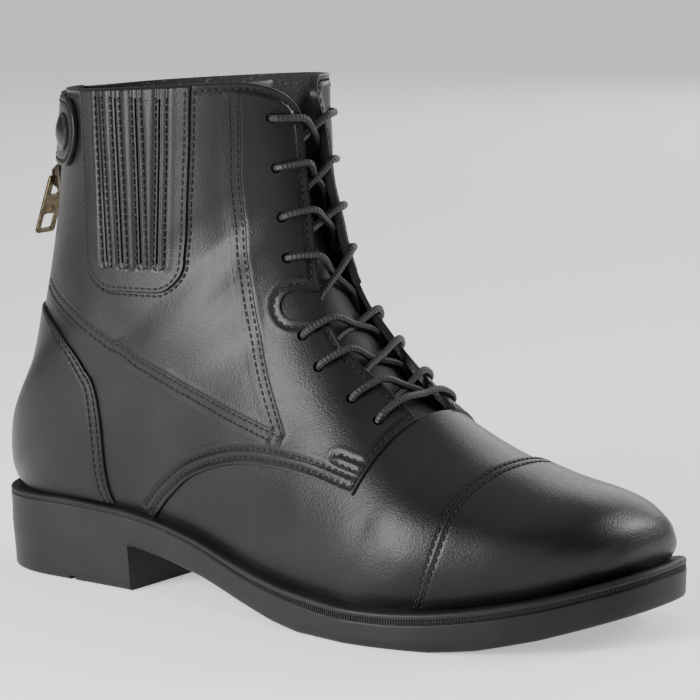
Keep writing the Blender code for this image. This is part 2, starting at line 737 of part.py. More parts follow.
def cap_grid(side, heights):
    """Points of one half of the toe at each height, in level rows from the tip to the toe cap's back edge."""
    shares = np.linspace(0.0, 1.0, THROAT_COLUMNS + FRONT_COLUMNS + LOWER_COLUMNS + 1)
    grids = []
    for height in heights:
        grids.append(np.array([[raised(run, side * share, height) for share in shares] for run in CAP_RUNS]))
    return grids


def vamp_grid(side, heights):
    """Points of one half of the vamp at each height, from the toe tip to the quarter's front edge and the throat."""
    line = quarter_line(side)
    throat = [(line[0][0], line[0][1] * k / THROAT_COLUMNS) for k in range(THROAT_COLUMNS)]
    ends = throat + line
    level = np.linspace(0.0, 1.0, len(ends))
    grids = []
    for toe, height in zip(cap_grid(side, heights), heights):
        rows = list(toe)
        for part in VAMP_SHARES:
            row = []
            for (end_run, end_share), start_share in zip(ends, level):
                run = CAP_RUN + part * (end_run - CAP_RUN)
                row.append(raised(run, side * (start_share + part * (end_share - start_share)), height))
            rows.append(np.array(row))
        grids.append(np.array(rows))
    return grids


def build_upper(parts, cutters):
    """The hollow upper: vamp, and quarters that lie over it as a step in the wall."""
    shape = bmesh.new()
    for side in (-1, 1):
        vamp, vamp_lining = vamp_grid(side, (0.0, -WALL))
        quarter, lining = quarter_grid(side, (QUARTER_STEP, -WALL))
        for grid in (vamp, vamp_lining, quarter, lining):
            add_sheet(shape, grid)
        add_strip(shape, vamp[-1, THROAT_COLUMNS:], quarter[0])
        add_strip(shape, vamp[-1, :THROAT_COLUMNS + 1], vamp_lining[-1, :THROAT_COLUMNS + 1])
        add_strip(shape, vamp[:, -1], vamp_lining[:, -1])
        add_strip(shape, quarter[:HEEL_ROWS, -1], lining[:HEEL_ROWS, -1])
        add_strip(shape, quarter[:, 0], lining[:, 0])
        add_strip(shape, quarter[-1], lining[-1])
        shape.faces.new([shape.verts.new(point) for point in to_frame((vamp[-1, -1], quarter[0, -1], lining[0, -1]))])
        shape.faces.new([shape.verts.new(point) for point in to_frame(
            (vamp[-1, THROAT_COLUMNS], quarter[0, 0], lining[0, 0]))])
    close(shape)
    upper = make_object("upper", shape, parts)
    add_boolean(upper, lace_hole_cutter(cutters), "DIFFERENCE")
    add_boolean(upper, notch_cutter(cutters), "DIFFERENCE")
    return finish(upper, material("upper_leather", (0.016, 0.016, 0.017), 0.42))


# Lacing

def hole_place(number, side):
    """Run and share of a lace hole, counted from the top, set back from the facing's edge."""
    low, high = QUARTER_FRONT_RUN, RUN_END
    for _ in range(30):
        run = (low + high) / 2
        share = facing_share(run) + HOLE_INSET / arc_length(run, side)
        if boot_point(run, side * share)[2] < HOLE_HEIGHTS[number]:
            low = run
        else:
            high = run
    return run, side * share


def lace_hole_cutter(cutters):
    """Round punches through both facings, square to the wall."""
    shape = bmesh.new()
    for side in (-1, 1):
        for number in range(len(HOLE_HEIGHTS)):
            run, share = hole_place(number, side)
            point, normal = lifted(boot_point, run, share, 0.0, SEAM_STEP, SHARE_STEP)
            bmesh.ops.create_cone(
                shape, cap_ends=True, segments=8, radius1=HOLE_RADIUS * MM, radius2=HOLE_RADIUS * MM, depth=9.0 * MM,
                matrix=frame_matrix(point, normal, (0.0, 0.0, 1.0)))
    return cutter("lace_holes", shape, cutters)


def notch_cutter(cutters):
    """A round-ended slot in each facing at the ankle, open to the throat."""
    shape = bmesh.new()
    for side in (-1, 1):
        run, share = locate(*NOTCH_CENTRE, side)
        point, normal = lifted(boot_point, run, side * share, 0.0, SEAM_STEP, SHARE_STEP)
        made = bmesh.ops.create_cone(
            shape, cap_ends=True, segments=16, radius1=NOTCH_HALF * MM, radius2=NOTCH_HALF * MM, depth=12.0 * MM)
        towards = -side * NOTCH_RUN * MM
        for vert in made["verts"]:
            if vert.co.x * towards > 0.01 * MM * abs(towards):
                vert.co.x += towards
        bmesh.ops.transform(
            shape, matrix=frame_matrix(point, normal, (0.0, 0.0, 1.0)), verts=made["verts"])
    return cutter("ankle_notches", shape, cutters)


def lace_route(side, lift):
    """Points of one half of the lace, from its hidden end at the top hole on this side down to the lowest hole.

    Each crossing is moved up by lift.
    """
    over = QUARTER_STEP + LACE_CLEAR + LACE_RADIUS
    under = -(WALL + LACE_CLEAR + LACE_RADIUS)
    route = []
    for number in range(len(HOLE_HEIGHTS)):
        run, share = hole_place(number, side)
        route += [raised(run, share, under), raised(run, share, -0.4), raised(run, share, over)]
        if number + 1 == len(HOLE_HEIGHTS):
            break
        next_run = hole_place(number + 1, -side)[0]
        near_run = run + 0.25 * (next_run - run)
        far_run = run + 0.75 * (next_run - run)
        near = raised(near_run, side * facing_share(near_run), over)
        far = raised(far_run, -side * facing_share(far_run), under)
        upward = lifted(boot_point, (run + next_run) / 2, 0.0, 0.0, SEAM_STEP, SHARE_STEP)[1]
        route += [near, (near + far) / 2 + lift * upward, far]
        side = -side
    return route


def lace_tube(name, route, collection):
    """A round cord along a route, as a mesh."""
    data = bpy.data.curves.new(name, "CURVE")
    data.dimensions = "3D"
    data.bevel_depth = LACE_RADIUS * MM
    data.bevel_resolution = 1
    data.use_fill_caps = True
    spline = data.splines.new("POLY")
    spline.points.add(len(route) - 1)
    for knot, point in zip(spline.points, to_frame(route)):
        knot.co = (*point, 1.0)
    curve = bpy.data.objects.new(name, data)
    collection.objects.link(curve)
    bpy.context.view_layer.update()
    return mesh_from_curve(name, curve, collection)


def build_laces(parts, cutters):
    """One cord through all the holes: two crossing halves, joined by the bar at the lowest pair."""
    over = QUARTER_STEP + LACE_CLEAR + LACE_RADIUS
    lateral = lace_route(-1, CROSSING_LIFT)
    medial = lace_route(1, -CROSSING_LIFT)
    run, share = hole_place(len(HOLE_HEIGHTS) - 1, 1)
    opening = facing_share(run)
    bar = [raised(run, opening, over), raised(run, -opening, over), raised(run, -share, over)]
    laces = lace_tube("laces", lateral + bar, parts)
    other = lace_tube("lace_other_half", medial, cutters)
    other.hide_render = True
    other.display_type = "WIRE"
    add_boolean(laces, other, "UNION")
    return finish(laces, material("lace_cord", (0.012, 0.012, 0.012), 0.75))


# Tongue and overlays

def build_tongue(parts):
    """A sheet that follows the ridge, sunk below the facings and leaning back inside the shaft."""
    columns = np.linspace(-1.0, 1.0, 11)
    outer, inner = [], []
    for row in TONGUE_ROWS:
        run = ridge_run(row.ridge_z)
        normal = lifted(boot_point, run, 0.0, 0.0, SEAM_STEP, SHARE_STEP)[1]
        line = []
        for place in columns:
            side = -1 if place < 0 else 1
            line.append(boot_point(run, place * row.half_width / arc_length(run, side)))
        line = np.array(line)
        outer.append(line - row.depth * normal)
        inner.append(line - (row.depth + TONGUE_THICK) * normal)
    shape = bmesh.new()
    add_shell(shape, inner, outer)
    close(shape)
    return finish(make_object("tongue", shape, parts), material("tongue_leather", (0.022, 0.022, 0.023), 0.5))


def build_toe_cap(parts):
    """The cap over the vamp's toe, with a straight back edge."""
    shape = bmesh.new()
    for side in (-1, 1):
        low, high = cap_grid(side, (GAP, GAP + OVERLAY))
        add_sheet(shape, low)
        add_sheet(shape, high)
        add_strip(shape, low[-1], high[-1])
        add_strip(shape, low[:, -1], high[:, -1])
    close(shape)
    return finish(make_object("toe_cap", shape, parts), material("toe_cap_leather", (0.016, 0.016, 0.017), 0.4))


def back_shell(name, rows, columns, floor, thick, made, parts):
    """A sheet around the back of the boot: a row for each height, and a floor height over the form."""
    low, high = [], []
    for row in rows:
        low.append([over_back(row.z, place * row.half_arc, floor) for place in columns])
        high.append([over_back(row.z, place * row.half_arc, floor + thick) for place in columns])
    shape = bmesh.new()
    add_shell(shape, low, high)
    close(shape)
    return finish(make_object(name, shape, parts), made)


def build_heel_pieces(parts):
    """The counter around the heel and the narrow strip over its seam."""
    over_quarter = QUARTER_STEP + 3 * GAP
    back_shell("heel_counter", COUNTER_ROWS, COUNTER_COLUMNS, over_quarter, OVERLAY,
               material("counter_leather", (0.016, 0.016, 0.017), 0.42), parts)
    over_counter = over_quarter + OVERLAY + GAP
    back_shell("heel_strip", STRIP_ROWS, np.linspace(-1.0, 1.0, 7), over_counter, OVERLAY,
               material("strip_leather", (0.016, 0.016, 0.017), 0.42), parts)


def build_gore(name, side, parts, cutters):
    """A leather panel over the shaft's elastic, with round lower corners and four long slits."""
    low, high = [], []
    for place in (0.0, 0.08, 0.2, 0.36, 0.52, 0.68, 0.84, 0.94, 1.0):
        wide = GORE_FRONT_LOW - GORE_BACK
        edge = min(place, 1 - place) * wide
        drop = max(0.0, GORE_CORNER - edge)
        bottom = GORE_BOTTOM + GORE_CORNER - math.sqrt(GORE_CORNER ** 2 - drop ** 2)
        columns = ([], [])
        for z in np.linspace(bottom, GORE_TOP, 8):
            front = GORE_FRONT_LOW + GORE_FRONT_LEAN * max(0.0, z - GORE_BOTTOM - GORE_CORNER)
            x = GORE_BACK + place * (front - GORE_BACK)
            columns[0].append(over_side(x, z, side, QUARTER_STEP + 2 * GAP))
            columns[1].append(over_side(x, z, side, QUARTER_STEP + 2 * GAP + OVERLAY))
        low.append(columns[0])
        high.append(columns[1])
    shape = bmesh.new()
    add_shell(shape, low, high)
    close(shape)
    panel = make_object(name, shape, parts)
    slits = bmesh.new()
    tall = SLIT_TOP - SLIT_BOTTOM
    for slit in SLIT_ROWS:
        middle = ((slit.top_x + slit.bottom_x) / 2, side * HEEL_WIDTH / 2, (SLIT_TOP + SLIT_BOTTOM) / 2)
        lean = math.atan2(slit.top_x - slit.bottom_x, tall)
        size = Matrix.Diagonal((SLIT_WIDE * MM, HEEL_WIDTH / 2 * MM, tall * MM, 1.0))
        placed = Matrix.Translation(Vector(to_frame(middle))) @ Matrix.Rotation(lean, 4, "Y") @ size
        bmesh.ops.create_cube(slits, size=1.0, matrix=placed)
    add_boolean(panel, cutter(name + "_slits", slits, cutters), "DIFFERENCE")
    return finish(panel, material(name + "_leather", (0.016, 0.016, 0.017), 0.45))


# Zip and snap tab

def build_zip_tape(parts):
    """The closed zip up the back: a tape with the row of teeth standing on it."""
    floor = QUARTER_STEP + GAP
    edge = TEETH_HALF + 0.3
    profile = (
        (-TAPE_HALF, 0.8), (-4.6, 0.8), (-edge, 0.8), (-TEETH_HALF, TEETH_RISE), (0.0, TEETH_RISE),
        (TEETH_HALF, TEETH_RISE), (edge, 0.8), (4.6, 0.8), (TAPE_HALF, 0.8),
    )
    low, high = [], []
    for z in np.linspace(ZIP_BOTTOM, ZIP_TOP, 9):
        low.append([over_back(z, arc, floor) for arc, _ in profile])
        high.append([over_back(z, arc, floor + rise) for arc, rise in profile])
    shape = bmesh.new()
    add_shell(shape, low, high)
    close(shape)
    return finish(make_object("zip_tape", shape, parts), material("zip_tape_cloth", (0.012, 0.012, 0.013), 0.8))


def strap_floor(arc):
    """How far the tab stands over the form: on the shaft at its ends, and clear of the zip's teeth in the middle."""
    on_shaft = QUARTER_STEP + 2 * GAP
    return on_shaft + (TEETH_RISE + GAP) / (1 + (arc / (TAPE_HALF + 2.0)) ** 6)


def build_snap_strap(parts):
    """A tab from the medial side over the top of the zip, round at its lateral end."""
    middle = (STRAP_BOTTOM + STRAP_TOP) / 2
    half = (STRAP_TOP - STRAP_BOTTOM) / 2
    low, high = [], []
    for arc in STRAP_ARCS:
        reach = max(0.0, -arc - (STRAP_LATERAL - half))
        tall = math.sqrt(max(0.0, half ** 2 - reach ** 2)) if reach else half
        tall = max(tall, 0.3 * half)
        levels = np.linspace(middle - tall, middle + tall, 4)
        low.append([over_back(z, arc, strap_floor(arc)) for z in levels])
        high.append([over_back(z, arc, strap_floor(arc) + STRAP_THICK) for z in levels])
    shape = bmesh.new()
    add_shell(shape, low, high)
    close(shape)
    return finish(make_object("snap_strap", shape, parts), material("strap_leather", (0.016, 0.016, 0.017), 0.42))


def build_snap_button(parts):
    """The domed cap of the press stud, on the tab's lateral end."""
    foot = strap_floor(SNAP_ARC) + STRAP_THICK + 2 * GAP
    point, normal = lifted(back_surface, SNAP_HEIGHT, SNAP_ARC, 0.0, 1.0, 1.0)
    outward = -normal
    shape = bmesh.new()
    bmesh.ops.create_cone(
        shape, cap_ends=True, segments=20, radius1=SNAP_RADIUS * MM, radius2=0.72 * SNAP_RADIUS * MM,
        depth=SNAP_RISE * MM,
        matrix=frame_matrix(point + outward * (foot + SNAP_RISE / 2), outward, (0.0, 0.0, 1.0)))
    button = make_object("snap_button", shape, parts)
    bevel = button.modifiers.new("rounded", "BEVEL")
    bevel.width = 0.5 * MM
    bevel.segments = 1
    return finish(button, material("snap_metal", (0.05, 0.05, 0.052), 0.35, 0.8))


def slider_frame():
    """Middle of the slider's inner face, on the teeth, and the pivot of its pull."""
    seat = QUARTER_STEP + GAP + TEETH_RISE + GAP
    x = back_surface(SLIDER_Z, 0.0)[0] - seat - 0.8
    pivot = np.array((x - SLIDER_THICK - PIVOT_CLEAR, 0.0, SLIDER_Z))
    return x, pivot


def build_zip_slider(parts, cutters):
    """The slider's body with a bridge that holds the pull."""
    x, pivot = slider_frame()
    shape = bmesh.new()
    size = Matrix.Diagonal((SLIDER_THICK * MM, SLIDER_WIDE * MM, SLIDER_TALL * MM, 1.0))
    centre = Vector(to_frame((x - SLIDER_THICK / 2, 0.0, SLIDER_Z)))
    bmesh.ops.create_cube(shape, size=1.0, matrix=Matrix.Translation(centre) @ size)
    slider = make_object("zip_slider", shape, parts)
    bevel = slider.modifiers.new("rounded", "BEVEL")
    bevel.width = 0.6 * MM
    bevel.segments = 1
    bridge = bmesh.new()
    outer = PIVOT_CLEAR + BRIDGE_BAR
    legs = ((-outer + BRIDGE_BAR / 2, 0.0, BRIDGE_BAR, BRIDGE_TALL),)
    for x_off, z_off, deep, tall in legs:
        bar = Matrix.Diagonal((deep * MM, BRIDGE_WIDE * MM, tall * MM, 1.0))
        place = Vector(to_frame(pivot + (x_off, 0.0, z_off)))
        bmesh.ops.create_cube(bridge, size=1.0, matrix=Matrix.Translation(place) @ bar)
    bars = cutter("slider_bridge", bridge, cutters)
    add_boolean(slider, bars, "UNION")
    for sign in (-1, 1):
        leg = bmesh.new()
        deep = 2 * PIVOT_CLEAR + BRIDGE_BAR
        bar = Matrix.Diagonal((deep * MM, (BRIDGE_WIDE - 0.2) * MM, BRIDGE_BAR * MM, 1.0))
        place = pivot + (-outer + BRIDGE_BAR / 2 + deep / 2, 0.0, sign * (BRIDGE_TALL / 2 - BRIDGE_BAR / 2 - 0.1))
        bmesh.ops.create_cube(leg, size=1.0, matrix=Matrix.Translation(Vector(to_frame(place))) @ bar)
        add_boolean(slider, cutter("slider_leg_%s" % ("low" if sign < 0 else "high"), leg, cutters), "UNION")
    return finish(slider, material("zip_metal", (0.09, 0.08, 0.065), 0.4, 0.85), smooth=False)


def add_loop(data, points):
    """A closed straight-sided loop in a flat curve."""
    spline = data.splines.new("POLY")
    spline.points.add(len(points) - 1)
    for knot, (x, y) in zip(spline.points, points):
        knot.co = (x * MM, y * MM, 0.0, 1.0)
    spline.use_cyclic_u = True


def chamfered(low, high, half, corner):
    """Corners of an upright rectangle about x = 0, with its corners cut."""
    return (
        (-half + corner, low), (half - corner, low), (half, low + corner), (half, high - corner),
        (half - corner, high), (-half + corner, high), (-half, high - corner), (-half, low + corner),
    )


def build_zip_pull(parts):
    """The flat pull, hung on its pivot, with an eye for the bridge and a window near its lower end."""
    _, pivot = slider_frame()
    data = bpy.data.curves.new("zip_pull", "CURVE")
    data.dimensions = "2D"
    data.fill_mode = "BOTH"
    data.extrude = PULL_THICK / 2 * MM
    top = 0.8
    add_loop(data, chamfered(top - PULL_LENGTH, top, PULL_WIDE / 2, 1.2))
    add_loop(data, chamfered(-7.6, -0.8, 2.2, 0.5))
    add_loop(data, chamfered(top - PULL_LENGTH + 1.8, top - PULL_LENGTH + 8.3, PULL_WIDE / 2 - 1.9, 0.5))
    pull = bpy.data.objects.new("zip_pull", data)
    parts.objects.link(pull)
    pull.location = Vector(to_frame(pivot))
    pull.rotation_euler = (math.radians(90.0), 0.0, math.radians(-90.0))
    pull.rotation_euler = (
        Matrix.Rotation(math.radians(PULL_TILT), 3, "Y") @ pull.rotation_euler.to_matrix()).to_euler()
    return finish(pull, material("pull_metal", (0.10, 0.085, 0.06), 0.38, 0.9))


def clear_scene():
    """Removes the objects that a new file starts with."""
    for obj in list(bpy.data.objects):
        bpy.data.objects.remove(obj)


def main():
    """Builds every piece of the boot."""
    clear_scene()
    parts = new_collection("lace_up_ankle_boot")
    cutters = new_collection("cutters")
    build_outsole(parts, cutters)
    build_welt(parts)
    build_insole(parts)
    build_upper(parts, cutters)
    build_tongue(parts)
    build_toe_cap(parts)
    build_heel_pieces(parts)
    build_gore("gore_panel_lateral", -1, parts, cutters)
    build_gore("gore_panel_medial", 1, parts, cutters)
    build_zip_tape(parts)
    build_zip_slider(parts, cutters)
    build_zip_pull(parts)
    build_snap_strap(parts)
    build_snap_button(parts)
    build_laces(parts, cutters)


main()
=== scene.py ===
"""The looks of a right lace-up ankle boot: leather panels, stitching, laces, zip and rubber sole.

Sizes are in millimetres: x runs forward from the back of the sole, y to the medial side and z up from the
floor. Meshes are placed in metres, with the origin on the floor under the middle of the heel, as in the
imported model.
"""
import logging
import math
from collections import namedtuple
from dataclasses import dataclass
from enum import Enum
from typing import Any, Callable, Iterable, Optional, Sequence

import bmesh
import bpy
import numpy as np
from mathutils import Matrix, Vector
from mathutils.kdtree import KDTree


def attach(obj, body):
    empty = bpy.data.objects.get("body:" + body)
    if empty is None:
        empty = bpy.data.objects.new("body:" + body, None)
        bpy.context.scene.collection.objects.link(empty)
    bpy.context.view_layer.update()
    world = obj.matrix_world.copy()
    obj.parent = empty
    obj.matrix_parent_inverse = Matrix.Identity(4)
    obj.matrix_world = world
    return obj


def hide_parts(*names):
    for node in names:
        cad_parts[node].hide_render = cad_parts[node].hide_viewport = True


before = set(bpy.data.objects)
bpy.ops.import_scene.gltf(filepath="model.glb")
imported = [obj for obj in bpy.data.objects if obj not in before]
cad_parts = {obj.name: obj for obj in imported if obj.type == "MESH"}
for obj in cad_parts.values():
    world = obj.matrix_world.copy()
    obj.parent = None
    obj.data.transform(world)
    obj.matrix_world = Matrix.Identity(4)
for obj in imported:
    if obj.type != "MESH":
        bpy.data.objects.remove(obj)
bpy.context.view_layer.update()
LOG = logging.getLogger("ankle_boot")

Array = np.ndarray
Object = bpy.types.Object
Material = bpy.types.Material
Colour = tuple[float, float, float]
UP = (0.0, 0.0, 1.0)
MM = 0.001
GAP = 0.3
ORIGIN = np.array((40.0, 0.0, 0.0))
BOOT = "boot"
PULL = "pull"

WaistRow = namedtuple("WaistRow", "x lateral medial")
HeightRow = namedtuple("HeightRow", "x z")
Section = namedtuple("Section", "name base_x base_z top_x top_z lateral medial widest crown foot")
FacingRow = namedtuple("FacingRow", "ridge_z half_gap")
TongueRow = namedtuple("TongueRow", "ridge_z half_width depth")
ArcRow = namedtuple("ArcRow", "z half_arc")
SlitRow = namedtuple("SlitRow", "top_x bottom_x")
GrooveRow = namedtuple("GrooveRow", "x margin")
PullLoop = namedtuple("PullLoop", "low high half corner")
SoftLight = namedtuple("SoftLight", "name place size power")


class Side(Enum):
    """The two sides of the boot, by the sign of y."""

    LATERAL = -1
    MEDIAL = 1

    @property
    def word(self) -> str:
        """The side's name, as pieces use it."""
        return self.name.lower()


def smooth_curve(stations: Sequence[float], values: Any) -> Callable[[Any], Array]:
    """A cubic through these values.

    Args:
        stations: where the values stand, rising.
        values: one number or one row of numbers for each station.

    Returns:
        A function from stations to rows of values.
    """
    at = np.asarray(stations, float)
    value = np.asarray(values, float).reshape(len(at), -1)
    step = np.diff(at)
    slope = np.diff(value, axis=0) / step[:, None]
    tangent = np.empty_like(value)
    tangent[0], tangent[-1] = slope[0], slope[-1]
    weight = (step[1:] / (step[1:] + step[:-1]))[:, None]
    tangent[1:-1] = weight * slope[:-1] + (1 - weight) * slope[1:]

    def curve(station: Any) -> Array:
        """The values at some stations.

        Args:
            station: one station, or many.

        Returns:
            A row of values for each.
        """
        place = np.atleast_1d(np.asarray(station, float))
        i = np.clip(np.searchsorted(at, place, side="right") - 1, 0, len(at) - 2)
        t = ((place - at[i]) / step[i])[:, None]
        h = step[i][:, None]
        start = (1 + 2 * t) * (1 - t) ** 2 * value[i] + t * (1 - t) ** 2 * h * tangent[i]
        end = t ** 2 * (3 - 2 * t) * value[i + 1] + t ** 2 * (t - 1) * h * tangent[i + 1]
        return start + end

    return curve


def to_frame(points: Any) -> Array:
    """Millimetres from the back of the sole to metres in the part's frame."""
    return (np.asarray(points, float) - ORIGIN) * MM


def unit(vectors: Array) -> Array:
    """Vectors along the last axis, at length one."""
    return vectors / np.maximum(np.linalg.norm(vectors, axis=-1, keepdims=True), 1e-9)


def running_length(points: Array, axis: int = 0) -> Array:
    """Length along lines of points, from the first one.

    Args:
        points: lines of points.
        axis: the axis along the lines.

    Returns:
        The length at each point.
    """
    steps = np.linalg.norm(np.diff(points, axis=axis), axis=-1)
    start = np.zeros_like(np.take(steps, [0], axis=axis))
    return np.concatenate((start, np.cumsum(steps, axis=axis)), axis=axis)


def eased(share: Any) -> Array:
    """From zero to one, with a soft start and end."""
    share = np.clip(share, 0.0, 1.0)
    return share * share * (3 - 2 * share)


def bell(distance: Any, width: float) -> Array:
    """One at no distance, falling off softly over a width."""
    return np.exp(-(distance / width) ** 2)


def between(table: Array, row: Any, column: Any) -> Array:
    """Values of a table between its rows and columns.

    Args:
        table: rows of columns of values.
        row, column: where to read, with fractions.

    Returns:
        A value for each place.
    """
    i = np.clip(row.astype(int), 0, table.shape[0] - 2)
    j = np.clip(column.astype(int), 0, table.shape[1] - 2)
    u, v = (row - i)[..., None], (column - j)[..., None]
    low = (1 - v) * table[i, j] + v * table[i, j + 1]
    high = (1 - v) * table[i + 1, j] + v * table[i + 1, j + 1]
    return (1 - u) * low + u * high


# Form of the sole and the last

@dataclass(frozen=True)
class SoleForm:
    """Outline and heights of the sole."""

    length: float = 286.0
    ball_width: float = 101.0
    heel_width: float = 70.0
    ball_x: float = 194.0
    heel_run: float = 38.0
    toe_swing: float = 20.0
    outline_power: float = 2.4
    swing_power: float = 1.6
    breast_x: float = 80.0
    breast_height: float = 17.4
    feather: float = 5.5
    welt_at_heel: float = 2.2
    welt_at_ball: float = 4.0

    def __post_init__(self) -> None:
        """Makes the curves of the waist and of the top edge."""
        waist = (
            WaistRow(self.heel_run, self.heel_width / 2, self.heel_width / 2), WaistRow(75.0, 35.3, 33.0),
            WaistRow(115.0, 38.0, 32.0), WaistRow(160.0, 46.5, 42.5),
            WaistRow(self.ball_x, self.ball_width / 2, self.ball_width / 2),
        )
        edge = (
            HeightRow(0.0, 32.0), HeightRow(60.0, 32.0), HeightRow(85.0, 30.5), HeightRow(110.0, 26.5),
            HeightRow(140.0, 19.8), HeightRow(165.0, 15.6), HeightRow(190.0, 13.5), HeightRow(225.0, 14.0),
            HeightRow(260.0, 19.3), HeightRow(self.length, 26.0),
        )
        object.__setattr__(self, "_waist", smooth_curve([row.x for row in waist], [row[1:] for row in waist]))
        object.__setattr__(self, "_edge", smooth_curve([row.x for row in edge], [row.z for row in edge]))

    def top(self, x: Any) -> Array:
        """Height of the sole's top edge at x."""
        return self._edge(np.clip(np.ravel(x), 0.0, self.length))[:, 0].reshape(np.shape(x))

    def under(self, x: Any) -> Array:
        """Height of the underside at x, ahead of the heel.

        Args:
            x: one place or many.

        Returns:
            A height for each.
        """
        rows = (
            HeightRow(self.breast_x, self.breast_height), HeightRow(100.0, 14.8), HeightRow(120.0, 10.8),
            HeightRow(140.0, 6.0), HeightRow(158.0, 2.0), HeightRow(172.0, 0.0), HeightRow(228.0, 0.0),
            HeightRow(244.0, 1.4), HeightRow(262.0, 5.0), HeightRow(self.length, 11.5),
        )
        return np.interp(x, [row.x for row in rows], [row.z for row in rows])

    def front_share(self, x: Any) -> Array:
        """Zero at the heel and one from the ball forward."""
        return eased((np.asarray(x, float) - self.breast_x) / (self.ball_x - self.breast_x))

    def welt(self, x: Any) -> Array:
        """Thickness of the welt at x."""
        return self.welt_at_heel + (self.welt_at_ball - self.welt_at_heel) * self.front_share(x)

    def edge(self, x: Any) -> tuple[Array, Array]:
        """Lateral and medial y of the outline at x.

        Args:
            x: one place or many.

        Returns:
            The lateral and the medial line.
        """
        x = np.atleast_1d(np.asarray(x, float))
        toe = np.clip((x - self.ball_x) / (self.length - self.ball_x), 0.0, 1.0)
        heel = np.clip((self.heel_run - x) / self.heel_run, 0.0, 1.0)
        half = self._waist(np.clip(x, self.heel_run, self.ball_x))
        power = self.outline_power
        rounding = (1 - toe ** power) ** (1 / power) * (1 - heel ** power) ** (1 / power)
        centre = self.toe_swing * toe ** self.swing_power
        return centre - half[:, 0] * rounding, centre + half[:, 1] * rounding

    def feather_line(self, x: Any) -> tuple[Array, Array]:
        """Lateral and medial y of the line where the upper meets the sole.

        Args:
            x: one place or many.

        Returns:
            The lateral and the medial line.
        """
        stretch = self.length / (self.length - 2 * self.feather)
        low, high = self.edge(np.clip((np.asarray(x, float) - self.feather) * stretch, 0.0, self.length))
        half = (high - low) / 2 * (1 - self.feather / (self.heel_width / 2 + self.feather))
        return (low + high) / 2 - half, (low + high) / 2 + half


SOLE = SoleForm()

SECTIONS = (
    Section("tip", 280.5, None, 280.5, 25.5, 0.0, 0.0, 0.30, 2.2, 2.2),
    Section("nose", 277.5, None, 281.0, 31.5, 15.5, 15.5, 0.30, 2.2, 2.2),
    Section("nose_top", 270.0, None, 278.5, 38.0, 25.7, 25.7, 0.30, 2.2, 2.2),
    Section("toe", 258.0, None, 272.5, 43.5, 34.0, 34.0, 0.30, 2.2, 2.2),
    Section("toe_back", 243.0, None, 261.0, 49.0, 39.8, 39.8, 0.30, 2.2, 2.2),
    Section("cap_line", 225.0, None, 243.0, 55.5, 43.3, 43.3, 0.28, 2.2, 2.2),
    Section("ball_front", 205.0, None, 222.0, 63.5, 44.9, 44.9, 0.25, 2.2, 2.2),
    Section("ball", 185.0, None, 204.0, 74.0, 43.5, 44.0, 0.22, 2.1, 2.2),
    Section("instep", 160.0, None, 186.0, 90.0, 39.5, 41.0, 0.22, 2.0, 2.2),
    Section("waist", 130.0, None, 171.5, 106.5, 34.8, 38.3, 0.28, 2.0, 2.2),
    Section("arch", 95.0, None, 161.5, 121.5, 33.8, 36.3, 0.35, 2.0, 2.3),
    Section("heel_front", 60.0, None, 156.0, 135.0, 34.7, 35.2, 0.45, 2.0, 2.6),
    Section("heel", 30.0, None, 153.0, 147.0, 35.8, 35.8, 0.50, 2.0, 3.0),
    Section("heel_back", 5.6, 32.4, 151.0, 157.0, 36.0, 35.5, 0.50, 2.0, 3.0),
    Section("counter", 3.8, 50.0, 150.0, 164.0, 36.5, 36.0, 0.50, 2.0, 2.8),
    Section("counter_top", 12.7, 75.0, 149.0, 171.0, 37.0, 36.5, 0.50, 2.05, 2.2),
    Section("ankle", 17.9, 105.0, 148.0, 178.0, 38.0, 37.5, 0.50, 2.1, 1.8),
    Section("shaft", 23.2, 135.0, 147.0, 184.0, 39.0, 38.5, 0.50, 2.15, 1.6),
    Section("shaft_top", 27.5, 161.0, 146.5, 189.0, 40.0, 39.5, 0.50, 2.2, 1.58),
    Section("collar", 32.3, 188.5, 146.0, 194.0, 41.0, 40.5, 0.50, 2.2, 1.6),
)
FACING_ROWS = (
    FacingRow(60.0, 11.0), FacingRow(86.0, 11.5), FacingRow(102.0, 14.4), FacingRow(117.0, 12.4),
    FacingRow(131.0, 9.6), FacingRow(150.0, 7.4), FacingRow(194.0, 6.0),
)


